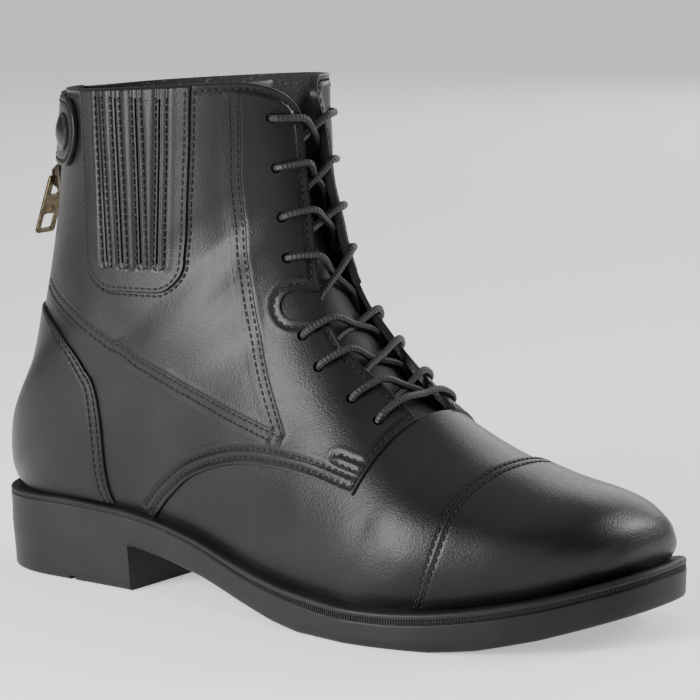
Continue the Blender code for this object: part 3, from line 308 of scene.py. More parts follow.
class Last:
    """The form under the leather, as tables of points over run and share.

    run is the way from the toe tip over the boot to the collar. share goes from -1 at the lateral base of a
    section over its ridge at 0 to 1 at the medial base, and goes on around the back where the section is
    closed. Where a method has a side, it is -1 for lateral and 1 for medial.
    """

    ROWS = 673
    HALF = 180
    FINE = 161
    BACK_LOW = 32.6
    BACK_HIGH = 188.4
    BACK_STEP = 0.6
    ARC_REACH = 92.4
    SOLE_GAP = 0.1

    def __init__(self) -> None:
        """Draws the sections out into the tables."""
        columns = []
        for row in SECTIONS:
            base_z = float(SOLE.top(row.base_x)) + GAP if row.base_z is None else row.base_z
            columns.append((row.base_x, base_z) + row[3:])
        table = np.array(columns)
        base_step = np.hypot(*np.diff(table[:, 0:2], axis=0).T)
        top_step = np.hypot(*np.diff(table[:, 2:4], axis=0).T)
        runs = np.concatenate(([0.0], np.cumsum((base_step + top_step) / 2)))
        self.end = float(runs[-1])
        self.back_run = float(runs[[row.name for row in SECTIONS].index("heel_back")])
        self.runs = np.linspace(0.0, self.end, self.ROWS)
        self.rows = smooth_curve(runs, table)(self.runs)
        self._facing = smooth_curve(*zip(*FACING_ROWS))
        self._fill()
        self._fill_normals()
        self._fill_back()

    def _half_section(self, row: Array, run: float, side: int) -> tuple[Array, Array, float]:
        """Even points, their share of the height, and the length of one half section, from ridge to base.

        Args:
            row: the section's numbers.
            run: where the section stands.
            side: the half to draw.

        Returns:
            Points, shares of the height, and the length.
        """
        base_x, base_z, top_x, top_z, lateral, medial, widest, crown, foot = row
        centre = half = 0.0
        if run < self.back_run:
            low, high = SOLE.feather_line(base_x)
            centre, half = float(low[0] + high[0]) / 2, float(high[0] - low[0]) / 2
            base_z = float(SOLE.top(base_x)) + GAP
        wide = max(lateral if side < 0 else medial, half + 0.2)
        close = (1 - (half / wide) ** foot) ** (1 / foot)
        angle = np.linspace(math.pi / 2, -math.asin(close ** (foot / 2)), self.FINE)
        sine, cosine = np.abs(np.sin(angle)), np.abs(np.cos(angle))
        above = widest + (1 - widest) * sine ** (2 / crown)
        below = widest - widest * sine ** (2 / foot) / close
        height = np.where(angle >= 0, above, below)
        width = wide * np.where(angle >= 0, cosine ** (2 / crown), cosine ** (2 / foot))
        along, rise = base_x + height * (top_x - base_x), base_z + height * (top_z - base_z)
        points = np.stack([along, centre + side * width, rise], -1)
        length = running_length(points)
        even = np.linspace(0.0, length[-1], self.HALF + 1)
        points = np.stack([np.interp(even, length, points[:, k]) for k in range(3)], -1)
        return points, np.interp(even, length, height), float(length[-1])

    def _fill(self) -> None:
        """Fills the tables of points, heights and half lengths."""
        shape = (self.ROWS, 2 * self.HALF + 1)
        self.points = np.empty(shape + (3,))
        self.heights = np.empty(shape)
        self.lengths = np.empty((self.ROWS, 2))
        for i, (run, row) in enumerate(zip(self.runs, self.rows)):
            for side in (-1, 1):
                points, height, length = self._half_section(row, run, side)
                if i == 0:
                    points[:] = points[-1]
                place = np.s_[i, self.HALF:] if side > 0 else np.s_[i, self.HALF::-1]
                self.points[place], self.heights[place] = points, height
                self.lengths[i, 0 if side < 0 else 1] = length

    def _fill_normals(self) -> None:
        """Fills the table of outward normals, joined around the back where sections are closed."""
        across = np.gradient(self.points, axis=1)
        closed = self.runs >= self.back_run
        seam = self.points[closed, 1] - self.points[closed, -2]
        across[closed, 0] = across[closed, -1] = seam
        along = np.gradient(self.points, axis=0)
        self.normals = unit(np.cross(across, along))
        self.normals[0] = (1.0, 0.0, 0.0)
        near = np.abs(self.runs - self.back_run) < 1.2
        self.normals[near, 0] = self.normals[near, -1] = (-1.0, 0.0, 0.0)

    def _sample(self, table: Array, run: Any, share: Any) -> Array:
        """Values of one of the tables over the form.

        Args:
            table: the table.
            run, share: places on the form.

        Returns:
            A value for each place.
        """
        run, share = np.broadcast_arrays(np.asarray(run, float), np.asarray(share, float))
        run = np.clip(run, 0.0, self.end)
        wrapped = np.where(share > 1, share - 2, np.where(share < -1, share + 2, share))
        share = np.where(run >= self.back_run, wrapped, np.clip(share, -1.0, 1.0))
        return between(table, run / self.end * (self.ROWS - 1), (share + 1) * self.HALF)

    def point(self, run: Any, share: Any) -> Array:
        """Points of the form."""
        return self._sample(self.points, run, share)

    def normal(self, run: Any, share: Any) -> Array:
        """Outward normals of the form."""
        return unit(self._sample(self.normals, run, share))

    def raised(self, run: Any, share: Any, height: Any) -> Array:
        """Points over the form by height. Along the sole they stay just over its edge.

        Args:
            run, share: places on the form.
            height: one height, or one for each place.

        Returns:
            The points.
        """
        points = self.point(run, share) + np.asarray(height, float)[..., None] * self.normal(run, share)
        run, share = np.broadcast_arrays(np.asarray(run, float), np.asarray(share, float))
        low = (np.abs(share) >= 0.999) & (run < self.back_run + 0.5)
        floor = SOLE.top(points[..., 0]) + self.SOLE_GAP
        points[..., 2] = np.where(low, floor, np.maximum(points[..., 2], floor))
        return points

    def length(self, run: Any, side: int) -> Array:
        """Length of one half section."""
        return np.interp(run, self.runs, self.lengths[:, 0 if side < 0 else 1])

    def ridge_run(self, z: Any) -> Array:
        """The run whose ridge is at this height."""
        return np.interp(z, self.rows[:, 3], self.runs)

    def facing(self, run: Any) -> Array:
        """Share of the half section that the throat takes."""
        ridge = np.interp(run, self.runs, self.rows[:, 3])
        return self._facing(np.ravel(ridge))[:, 0].reshape(np.shape(run)) / self.length(run, -1)

    def locate(self, x: Any, z: Any, side: int) -> tuple[Array, Array]:
        """Run and share of the points that have this x and z on one side, with the share above zero.

        Args:
            x, z: places as seen from the side.
            side: the side of the form.

        Returns:
            Runs and shares.
        """
        x, z = np.broadcast_arrays(np.asarray(x, float), np.asarray(z, float))
        shape, x, z = x.shape, x.ravel(), z.ravel()
        low, high = np.full(x.shape, 0.5), np.full(x.shape, self.end)
        for _ in range(34):
            middle = (low + high) / 2
            base_x, base_z, top_x, top_z = (np.interp(middle, self.runs, self.rows[:, k]) for k in range(4))
            ahead = (x - base_x) * (top_z - base_z) - (z - base_z) * (top_x - base_x) < 0
            low, high = np.where(ahead, middle, low), np.where(ahead, high, middle)
        run = (low + high) / 2
        base_x, base_z, top_x, top_z = (np.interp(run, self.runs, self.rows[:, k]) for k in range(4))
        rise_x, rise_z = top_x - base_x, top_z - base_z
        height = ((x - base_x) * rise_x + (z - base_z) * rise_z) / (rise_x ** 2 + rise_z ** 2)
        place = run / self.end * (self.ROWS - 1)
        i = np.clip(place.astype(int), 0, self.ROWS - 2)
        half = self.heights[:, self.HALF:] if side > 0 else self.heights[:, self.HALF::-1]
        even = np.linspace(0.0, 1.0, self.HALF + 1)
        share = np.empty_like(run)
        for k, (row, part) in enumerate(zip(i, place - i)):
            falling = (1 - part) * half[row] + part * half[row + 1]
            share[k] = np.interp(-height[k], -falling, even)
        return run.reshape(shape), share.reshape(shape)

    def settle(self, points: Array, run: Array, share: Array) -> tuple[Array, Array]:
        """Run and signed share of the places on the form nearest to points, from places close by.

        Args:
            points: points near the form.
            run, share: where the search starts.

        Returns:
            Runs and shares.
        """
        for _ in range(6):
            along = self.point(run + 0.5, share) - self.point(run - 0.5, share)
            across = (self.point(run, share + 0.004) - self.point(run, share - 0.004)) / 0.008
            apart = points - self.point(run, share)
            aa, ab, bb = ((p * q).sum(-1) for p, q in ((along, along), (along, across), (across, across)))
            ea, eb = (apart * along).sum(-1), (apart * across).sum(-1)
            fall = np.maximum(aa * bb - ab * ab, 1e-6)
            run = np.clip(run + (ea * bb - eb * ab) / fall, 0.0, self.end)
            share = np.clip(share + (eb * aa - ea * ab) / fall, -1.0, 1.0)
        return run, share

    def _fill_back(self) -> None:
        """Fills the tables of points and normals around the back, over height and arc from its middle."""
        closed = self.runs >= self.back_run
        levels = np.arange(self.BACK_LOW, self.BACK_HIGH + 0.01, self.BACK_STEP)
        arcs = np.arange(-self.ARC_REACH, self.ARC_REACH + 0.01, self.BACK_STEP)
        self.back_points = np.empty((len(levels), len(arcs), 3))
        self.back_normals = np.empty_like(self.back_points)
        for i, z in enumerate(levels):
            start = float(np.interp(z, self.rows[closed, 1], self.rows[closed, 0]))
            reach = start + 0.1 + 100.0 * np.linspace(0.0, 1.0, 44) ** 2
            lines, normals = [], []
            for side in (-1, 1):
                run, share = self.locate(reach, np.full_like(reach, z), side)
                lines.append(self.point(run, side * share))
                normals.append(self.normal(run, side * share))
            line = np.concatenate((lines[0][::-1], [(start, 0.0, z)], lines[1]))
            back = unit((normals[0][0] + normals[1][0]) * (1.0, 0.0, 1.0))
            normal = np.concatenate((normals[0][::-1], [back], normals[1]))
            arc = running_length(line)
            arc -= arc[len(reach)]
            for k in range(3):
                self.back_points[i, :, k] = np.interp(arcs, arc, line[:, k])
                self.back_normals[i, :, k] = np.interp(arcs, arc, normal[:, k])

    def over_back(self, z: Any, arc: Any, height: Any) -> Array:
        """Points around the back at these heights and arcs, lateral below zero, raised off the form.

        Args:
            z, arc: heights and arcs from the back's middle.
            height: one height over the form, or one for each place.

        Returns:
            The points.
        """
        z, arc = np.broadcast_arrays(np.asarray(z, float), np.asarray(arc, float))
        rows, columns = self.back_points.shape[:2]
        row = np.clip((z - self.BACK_LOW) / self.BACK_STEP, 0, rows - 1.001)
        column = np.clip((arc + self.ARC_REACH) / self.BACK_STEP, 0, columns - 1.001)
        outward = unit(between(self.back_normals, row, column))
        points = between(self.back_points, row, column) + np.asarray(height, float)[..., None] * outward
        points[..., 2] = np.maximum(points[..., 2], SOLE.top(points[..., 0]) + self.SOLE_GAP)
        return points


LAST = Last()


# Shader maths

class Socket:
    """A shader output that takes part in sums."""

    def __init__(self, graph: "Graph", output: Any) -> None:
        """Wraps one output of a node in this graph."""
        self.graph = graph
        self.output = output

    def _math(self, operation: str, first: Any, second: Any) -> "Socket":
        """A Math node on two values."""
        return self.graph.node("ShaderNodeMath", {"operation": operation}, {0: first, 1: second})

    def __add__(self, other: Any) -> "Socket":
        """Sum."""
        return self._math("ADD", self, other)

    def __sub__(self, other: Any) -> "Socket":
        """Difference."""
        return self._math("SUBTRACT", self, other)

    def __rsub__(self, other: Any) -> "Socket":
        """Difference from a number."""
        return self._math("SUBTRACT", other, self)

    def __mul__(self, other: Any) -> "Socket":
        """Product."""
        return self._math("MULTIPLY", self, other)

    def sine(self) -> "Socket":
        """Sine of an angle."""
        return self._math("SINE", self, 0.0)

    __radd__ = __add__
    __rmul__ = __mul__

    def above(self, low: float, high: float) -> "Socket":
        """Zero below low, one above high, and smooth between."""
        inputs = {"Value": self, "From Min": low, "From Max": high}
        return self.graph.node("ShaderNodeMapRange", {"interpolation_type": "SMOOTHSTEP"}, inputs)


class Graph:
    """The node tree of one material."""

    def __init__(self, name: str) -> None:
        """Starts the tree of a new material.

        Args:
            name: the material's name.
        """
        self.material = bpy.data.materials.new(name)
        self.material.use_nodes = True
        self.tree = self.material.node_tree
        self.shader = self.tree.nodes["Principled BSDF"]

    def node(self, kind: str, settings: dict[str, Any], inputs: dict[Any, Any], output: Any = 0) -> Socket:
        """Adds a node.

        Args:
            kind: the node's type.
            settings: its properties, which are set first.
            inputs: its sockets by name or number, as values or sockets to link.
            output: the name or number of the output to return.

        Returns:
            That output.
        """
        made = self.tree.nodes.new(kind)
        for key, value in settings.items():
            setattr(made, key, value)
        for key, value in inputs.items():
            self.put(made.inputs[key], value)
        return Socket(self, made.outputs[output])

    def put(self, target: Any, value: Any) -> None:
        """Links a socket to an input, or sets the input's own value.

        Args:
            target: the input.
            value: a socket, or a plain value.
        """
        if isinstance(value, Socket):
            self.tree.links.new(value.output, target)
        else:
            target.default_value = value

    def surface(self, **inputs: Any) -> Material:
        """Sets the Principled shader's inputs, named with underscores, and gives the material.

        Args:
            inputs: values or sockets by the input's name.

        Returns:
            The material.
        """
        for key, value in inputs.items():
            self.put(self.shader.inputs[key.replace("_", " ").title().replace("Ior", "IOR")], value)
        return self.material

    def place(self) -> Socket:
        """Object coordinates."""
        return self.node("ShaderNodeTexCoord", {}, {}, "Object")

    def map(self) -> Socket:
        """The piece's own UV map."""
        return self.node("ShaderNodeTexCoord", {}, {}, "UV")

    def noise(self, at: Socket, size_mm: float, detail: float = 2.0, rough: float = 0.5) -> Socket:
        """Noise with features of this size."""
        inputs = {"Vector": at, "Scale": 1.0 / (size_mm * MM), "Detail": detail, "Roughness": rough}
        return self.node("ShaderNodeTexNoise", {}, inputs, "Fac")

    def cells(self, at: Socket, size_mm: float) -> Socket:
        """Distance to the middle of the nearest of many cells."""
        inputs = {"Vector": at, "Scale": 1.0 / (size_mm * MM)}
        return self.node("ShaderNodeTexVoronoi", {}, inputs, "Distance")

    def mix(self, share: Any, first: Sequence[float], second: Sequence[float]) -> Socket:
        """A colour between two colours."""
        inputs = {"Factor": share, 6: (*first, 1.0), 7: (*second, 1.0)}
        return self.node("ShaderNodeMix", {"data_type": "RGBA"}, inputs, 2)

    def bump(self, height: Socket, depth_mm: float, below: Optional[Socket] = None) -> Socket:
        """A normal from a height of this depth, over another bump's normal.

        Args:
            height: the pattern, from zero to one.
            depth_mm: how deep it is.
            below: the normal of a bump under it.

        Returns:
            The normal.
        """
        inputs: dict[Any, Any] = {"Height": height, "Distance": depth_mm * MM, "Strength": 1.0}
        if below is not None:
            inputs["Normal"] = below
        return self.node("ShaderNodeBump", {}, inputs)


@dataclass(frozen=True)
class LeatherFinish:
    """Smooth black leather with a fine pebble grain."""

    colour: Colour = (0.004, 0.004, 0.0043)
    worn: Colour = (0.0068, 0.0068, 0.0072)
    roughness: float = 0.37
    uneven: float = 0.12
    pebble_mm: float = 0.8
    pebble_depth_mm: float = 0.055
    specular: float = 0.22
    coat: float = 0.04
    coat_roughness: float = 0.28
    cloud_mm: float = 34.0
    cloud_depth_mm: float = 0.25
    fine_mm: float = 2.6
    pore_mm: float = 0.35

    def material(self, name: str) -> Material:
        """The material of this finish.

        Args:
            name: the material's name.

        Returns:
            The material, with its nodes.
        """
        graph = Graph(name)
        at = graph.place()
        cloud = graph.noise(at, self.cloud_mm, 3.0)
        fine = graph.noise(at, self.fine_mm, 3.0)
        pebbles = graph.cells(at, self.pebble_mm)
        pores = graph.noise(at, self.pore_mm, 1.0)
        grain = graph.bump(pebbles + 0.35 * pores, self.pebble_depth_mm)
        soft = graph.bump(cloud, self.cloud_depth_mm, grain)
        return graph.surface(
            base_color=graph.mix(cloud.above(0.35, 0.75), self.colour, self.worn),
            roughness=self.roughness + self.uneven * (fine - 0.5) + 0.10 * (cloud - 0.5),
            specular_ior_level=self.specular, normal=soft, coat_weight=self.coat,
            coat_roughness=self.coat_roughness)


@dataclass(frozen=True)
class RubberFinish:
    """Matt moulded rubber."""

    colour: Colour = (0.007, 0.007, 0.0073)
    dusty: Colour = (0.012, 0.012, 0.012)
    roughness: float = 0.5
    specular: float = 0.22
    cloud_mm: float = 22.0
    speck_mm: float = 0.6
    speck_depth_mm: float = 0.04

    def material(self, name: str) -> Material:
        """The material of this finish.

        Args:
            name: the material's name.

        Returns:
            The material, with its nodes.
        """
        graph = Graph(name)
        at = graph.place()
        cloud = graph.noise(at, self.cloud_mm, 4.0)
        speck = graph.noise(at, self.speck_mm, 2.0)
        return graph.surface(
            base_color=graph.mix(cloud.above(0.3, 0.8), self.colour, self.dusty),
            roughness=self.roughness + 0.14 * (cloud - 0.5), specular_ior_level=self.specular,
            normal=graph.bump(speck, self.speck_depth_mm))


@dataclass(frozen=True)
class ClothFinish:
    """Woven lining or tape, with lighter flecks."""

    colour: Colour = (0.012, 0.012, 0.0125)
    fleck: Colour = (0.13, 0.13, 0.135)
    thread_mm: float = 1.3
    depth_mm: float = 0.22
    mottle_mm: float = 1.4
    roughness: float = 0.85

    def material(self, name: str) -> Material:
        """The material of this finish.

        Args:
            name: the material's name.

        Returns:
            The material, with its nodes.
        """
        graph = Graph(name)
        at = graph.place()
        tufts = graph.cells(at, self.thread_mm)
        mottle = graph.noise(at, self.mottle_mm, 3.0, 0.7)
        flecks = (1 - tufts).above(0.45, 0.85) * mottle.above(0.5, 0.68)
        return graph.surface(
            base_color=graph.mix(flecks, self.colour, self.fleck), roughness=self.roughness,
            normal=graph.bump(1 - tufts, self.depth_mm))


@dataclass(frozen=True)
class CordFinish:
    """Round braided cord with a wax gloss and a painted sheen: its colour is lighter on the braid's raised
    strands. The braid follows the cord's own map.
    """

    colour: Colour = (0.006, 0.006, 0.0063)
    # light: the painted sheen colour, laid on the braid's raised strands.
    light: Colour = (0.02, 0.02, 0.02)
    roughness: float = 0.6
    strands: float = 3.0
    braid_depth_mm: float = 0.16
    fibre_mm: float = 0.25
    fibre_depth_mm: float = 0.05

    def material(self, name: str) -> Material:
        """The material of this finish.

        Args:
            name: the material's name.

        Returns:
            The material, with its nodes.
        """
        graph = Graph(name)
        fibre = graph.noise(graph.place(), self.fibre_mm, 2.0)
        turned = graph.node("ShaderNodeSeparateXYZ", {}, {0: graph.map()}, 0)
        along = Socket(graph, turned.output.node.outputs[1])
        strands = self.strands * 2 * math.pi
        left = (strands * turned + strands * along).sine()
        right = (strands * turned - strands * along).sine()
        weave = left * right
        # Painted sheen: the braid's raised strands get the lighter colour, and they are also less rough.
        gloss_and_painted_sheen = weave.above(0.1, 0.8) * fibre.above(0.35, 0.65)
        return graph.surface(
            base_color=graph.mix(gloss_and_painted_sheen, self.colour, self.light),
            roughness=self.roughness - 0.15 * gloss_and_painted_sheen + 0.15 * (fibre - 0.5),
            normal=graph.bump(weave, self.braid_depth_mm, graph.bump(fibre, self.fibre_depth_mm)))


@dataclass(frozen=True)
class ThreadFinish:
    """Twisted sewing thread."""

    colour: Colour = (0.003, 0.003, 0.0032)
    light: Colour = (0.012, 0.012, 0.0125)
    roughness: float = 0.7
    specular: float = 0.25
    twist_mm: float = 0.3
    twist_depth_mm: float = 0.04

    def material(self, name: str) -> Material:
        """The material of this finish.

        Args:
            name: the material's name.

        Returns:
            The material, with its nodes.
        """
        graph = Graph(name)
        twist = graph.noise(graph.place(), self.twist_mm, 1.0)
        return graph.surface(
            base_color=graph.mix(twist.above(0.4, 0.7), self.colour, self.light), roughness=self.roughness,
            specular_ior_level=self.specular, normal=graph.bump(twist, self.twist_depth_mm))


@dataclass(frozen=True)
class MetalFinish:
    """Plated metal, with a darker film that wears off."""

    colour: Colour = (0.16, 0.13, 0.08)
    film: Colour = (0.05, 0.045, 0.035)
    roughness: float = 0.32
    metallic: float = 0.95
    film_mm: float = 3.0
    scratch_mm: float = 0.5
    scratch_depth_mm: float = 0.01

    def material(self, name: str) -> Material:
        """The material of this finish.

        Args:
            name: the material's name.

        Returns:
            The material, with its nodes.
        """
        graph = Graph(name)
        at = graph.place()
        cloud = graph.noise(at, self.film_mm, 3.0)
        return graph.surface(
            base_color=graph.mix(cloud.above(0.4, 0.7), self.colour, self.film),
            roughness=self.roughness + 0.2 * (cloud - 0.5), metallic=self.metallic,
            normal=graph.bump(graph.noise(at, self.scratch_mm, 2.0), self.scratch_depth_mm))


# Meshes

class Sheet:
    """Collects grids of points into one mesh object at the origin."""

    EDGES = (np.s_[0], np.s_[-1], np.s_[:, 0], np.s_[:, -1])
    FAR_EDGES = (np.s_[-1], np.s_[:, -1])
    MERGE = 0.004
    SLIVER = 0.001

    def __init__(self, name: str) -> None:
        """Starts a mesh with this name."""
        self.name = name
        self.mesh = bmesh.new()

    def grid(self, points: Array, slot: int = 0, closed: bool = False) -> None:
        """Adds a grid of points as quads.

        Args:
            points: rows of points in millimetres.
            slot: the material slot of the faces.
            closed: whether each row ends where it starts.
        """
        rows = [[self.mesh.verts.new(point) for point in row] for row in to_frame(points)]
        for low, high in zip(rows, rows[1:]):
            corners = list(zip(low, low[1:], high[1:], high))
            if closed:
                corners.append((low[-1], low[0], high[0], high[-1]))
            for corner in corners:
                self.mesh.faces.new(corner).material_index = slot

    def strip(self, first: Array, second: Array) -> None:
        """Adds a band of quads between two lines of points."""
        self.grid(np.stack([first, second]))

    def shell(self, low: Array, high: Array, low_slot: int = 0, edges: Sequence[Any] = EDGES) -> None:
        """Adds a sheet between an inner and an outer grid.

        Args:
            low, high: the inner and the outer grid.
            low_slot: the material slot of the inner grid.
            edges: the edges of the grids that are closed.
        """
        self.grid(low, low_slot)
        self.grid(high)
        for edge in edges:
            self.strip(low[edge], high[edge])

    def tube(self, rings: Array) -> None:
        """Adds rings of points as a tube with flat ends."""
        ends = [np.broadcast_to(ring.mean(axis=0), ring.shape) for ring in (rings[0], rings[-1])]
        self.grid(np.concatenate((ends[:1], rings, ends[1:])), closed=True)

    def object(self, slots: int = 1, smooth_deg: float = 40.0) -> Object:
        """Closes the mesh and gives it as an object.

        Args:
            slots: how many material slots it has.
            smooth_deg: the angle up to which edges are smooth.

        Returns:
            The object.
        """
        bmesh.ops.remove_doubles(self.mesh, verts=self.mesh.verts, dist=self.MERGE * MM)
        bmesh.ops.dissolve_degenerate(self.mesh, edges=self.mesh.edges, dist=self.SLIVER * MM)
        bmesh.ops.recalc_face_normals(self.mesh, faces=self.mesh.faces)
        data = bpy.data.meshes.new(self.name)
        self.mesh.to_mesh(data)
        self.mesh.free()
        for _ in range(slots):
            data.materials.append(None)
        data.shade_smooth()
        data.set_sharp_from_angle(angle=math.radians(smooth_deg))
        return linked(self.name, data)


def linked(name: str, data: Any) -> Object:
    """A new object in the scene.

    Args:
        name: its name.
        data: the mesh, curve, light or camera that it shows.

    Returns:
        The object.
    """
    obj = bpy.data.objects.new(name, data)
    bpy.context.scene.collection.objects.link(obj)
    return obj


def plain_mesh(obj: Object) -> bpy.types.Mesh:
    """What an object shows, as a plain mesh.

    Args:
        obj: an object with modifiers, or a curve.

    Returns:
        The mesh.
    """
    bpy.context.view_layer.update()
    depsgraph = bpy.context.evaluated_depsgraph_get()
    return bpy.data.meshes.new_from_object(obj.evaluated_get(depsgraph), depsgraph=depsgraph)


def evaluated(obj: Object) -> Object:
    """Turns an object's modifiers into its plain mesh.

    Args:
        obj: the object, which is changed.

    Returns:
        The same object.
    """
    data = plain_mesh(obj)
    obj.modifiers.clear()
    old, obj.data = obj.data, data
    bpy.data.meshes.remove(old)
    obj.data.name = obj.name
    return obj


def fit(obj: Object, slot: str, node: str, *finishes: Material, body: str = BOOT) -> Object:
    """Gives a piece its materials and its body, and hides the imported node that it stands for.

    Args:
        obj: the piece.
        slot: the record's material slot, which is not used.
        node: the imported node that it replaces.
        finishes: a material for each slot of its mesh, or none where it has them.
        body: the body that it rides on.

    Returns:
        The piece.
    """
    for place, finish in enumerate(finishes):
        obj.data.materials[place] = finish
    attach(obj, body)
    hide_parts(node)
    return obj


def cutter(name: str, shape: bmesh.types.BMesh) -> Object:
    """A shape that cuts another.

    Args:
        name: its name.
        shape: its mesh, which is freed.

    Returns:
        The object.
    """
    data = bpy.data.meshes.new(name)
    shape.to_mesh(data)
    shape.free()
    return linked(name, data)


def cut(obj: Object, tool: Object) -> Object:
    """Cuts an object with another, which is removed.

    Args:
        obj: the object, which is changed.
        tool: what cuts it.

    Returns:
        The same object.
    """
    modifier = obj.modifiers.new("cut", "BOOLEAN")
    modifier.operation = "DIFFERENCE"
    modifier.object = tool
    evaluated(obj)
    data = tool.data
    bpy.data.objects.remove(tool)
    bpy.data.meshes.remove(data)
    return obj


def frame_matrix(point: Array, normal: Any) -> Matrix:
    """A placement with local Z along normal and local Y as near upright as it can be.

    Args:
        point: its place in millimetres.
        normal: the way of its Z.

    Returns:
        The placement.
    """
    z_axis = Vector(normal).normalized()
    x_axis = Vector(UP).cross(z_axis).normalized()
    placed = Matrix((x_axis, z_axis.cross(x_axis), z_axis)).transposed().to_4x4()
    placed.translation = Vector(to_frame(point))
    return placed


def pipe_grid(line: Array, radius: float, sides: int) -> Array:
    """Rings of points around a line, turned as little as possible from one to the next.

    Args:
        line: points along the middle.
        radius: the rings' radius.
        sides: points on each ring.

    Returns:
        A row for each ring.
    """
    along = unit(np.gradient(line, axis=0))
    across = np.empty_like(line)
    guide = np.array(UP) if abs(along[0, 2]) < 0.9 else np.array((1.0, 0.0, 0.0))
    for i, step in enumerate(along):
        guide = guide - step * guide.dot(step)
        guide = guide / np.linalg.norm(guide)
        across[i] = guide
    other = np.cross(along, across)
    angle = np.linspace(0.0, 2 * math.pi, sides, endpoint=False)[None, :, None]
    return line[:, None] + radius * (np.cos(angle) * across[:, None] + np.sin(angle) * other[:, None])


def even_line(points: Any, step: float, soften: float = 0.0) -> Array:
    """A smooth line through points, in even steps, softened over a length.

    Args:
        points: what the line goes through.
        step: about how far apart its points are.
        soften: that length.

    Returns:
        The line's points.
    """
    points = np.asarray(points, float)
    length = running_length(points)
    line = smooth_curve(length, points)(np.linspace(0.0, length[-1], 12 * len(points)))
    length = running_length(line)
    even = np.linspace(0.0, length[-1], max(2, int(length[-1] / step) + 1))
    line = np.stack([np.interp(even, length, line[:, k]) for k in range(3)], -1)
    if soften:
        reach = int(3 * soften / step)
        weight = np.exp(-0.5 * (np.arange(-reach, reach + 1) * step / soften) ** 2)
        padded = np.concatenate((np.repeat(line[:1], reach, 0), line, np.repeat(line[-1:], reach, 0)))
        line = np.stack([np.convolve(padded[:, k], weight / weight.sum(), "valid") for k in range(3)], -1)
    return line


def point_tree(points: Array) -> KDTree:
    """A search tree over points.

    Args:
        points: a row for each point.

    Returns:
        The tree, which gives a point's row as its number.
    """
    tree = KDTree(len(points))
    for number, point in enumerate(points):
        tree.insert(point, number)
    tree.balance()
    return tree


# Relief of the leather

@dataclass(frozen=True)
class Crease:
    """A soft trough, or a ridge where depth is below zero, along points seen from one side."""

    side: Side
    line: tuple[tuple[float, float], ...]
    depth: float
    width: float

    def drop(self, points: Array) -> Array:
        """How far the crease lowers the leather at these points.

        Args:
            points: points on the form.

        Returns:
            A depth for each point.
        """
        at = np.linspace(0.0, 1.0, 40)
        x, z = smooth_curve(np.linspace(0.0, 1.0, len(self.line)), self.line)(at).T
        run, share = LAST.locate(x, z, self.side.value)
        trace = LAST.point(run, self.side.value * share)
        apart = np.linalg.norm(points[..., None, :] - trace, axis=-1)
        nearest = apart.argmin(axis=-1)
        ends = 1 - np.abs(2 * at[nearest] - 1) ** 3
        return self.depth * ends * bell(apart.min(axis=-1), self.width)


CREASES = (
    Crease(Side.LATERAL, ((150.0, 108.0), (136.0, 98.0), (118.0, 90.0), (104.0, 87.0)), 0.75, 7.0),
    Crease(Side.LATERAL, ((146.0, 126.0), (136.0, 118.0), (122.0, 112.0)), 0.5, 6.0),
    Crease(Side.LATERAL, ((128.0, 176.0), (126.0, 150.0), (127.0, 128.0)), 0.5, 5.0),
    Crease(Side.LATERAL, ((62.0, 128.0), (76.0, 108.0), (96.0, 98.0)), 0.55, 6.0),
    Crease(Side.LATERAL, ((40.0, 116.0), (52.0, 108.0), (66.0, 106.0)), 0.4, 5.0),
    Crease(Side.LATERAL, ((176.0, 66.0), (160.0, 64.0), (140.0, 66.0)), -0.45, 7.0),
    Crease(Side.LATERAL, ((196.0, 44.0), (206.0, 34.0), (212.0, 24.0)), 0.5, 6.0),
    Crease(Side.LATERAL, ((214.0, 58.0), (210.0, 46.0), (200.0, 32.0)), -0.35, 6.0),
    Crease(Side.LATERAL, ((130.0, 44.0), (150.0, 38.0), (170.0, 40.0)), 0.4, 7.0),
    Crease(Side.MEDIAL, ((150.0, 110.0), (134.0, 99.0), (112.0, 92.0)), 0.7, 7.0),
    Crease(Side.MEDIAL, ((146.0, 128.0), (134.0, 119.0), (118.0, 115.0)), 0.5, 6.0),
    Crease(Side.MEDIAL, ((60.0, 130.0), (72.0, 112.0), (92.0, 102.0)), 0.5, 6.0),
    Crease(Side.MEDIAL, ((128.0, 172.0), (125.0, 148.0), (127.0, 130.0)), 0.4, 5.0),
    Crease(Side.MEDIAL, ((200.0, 46.0), (208.0, 36.0), (212.0, 25.0)), 0.5, 6.0),
    Crease(Side.MEDIAL, ((128.0, 46.0), (148.0, 40.0), (168.0, 42.0)), 0.4, 7.0),
)
CREASE_SCALE = 0.55


def relief(points: Array, side: Side) -> Array:
    """How far all creases of one side lower the leather at these points.

    Args:
        points: points on the form.
        side: the side of the boot.

    Returns:
        A depth for each point.
    """
    drop = np.zeros(points.shape[:-1])
    for crease in CREASES:
        if crease.side is side:
            drop += crease.drop(points)
    return CREASE_SCALE * drop


def rounded(distance: Array, radius: float) -> Array:
    """How far an edge of this radius lies below its sheet, at these distances from the edge."""
    inside = np.clip(radius - distance, 0.0, radius)
    return radius - np.sqrt(np.maximum(radius ** 2 - inside ** 2, 0.0))


# Seams

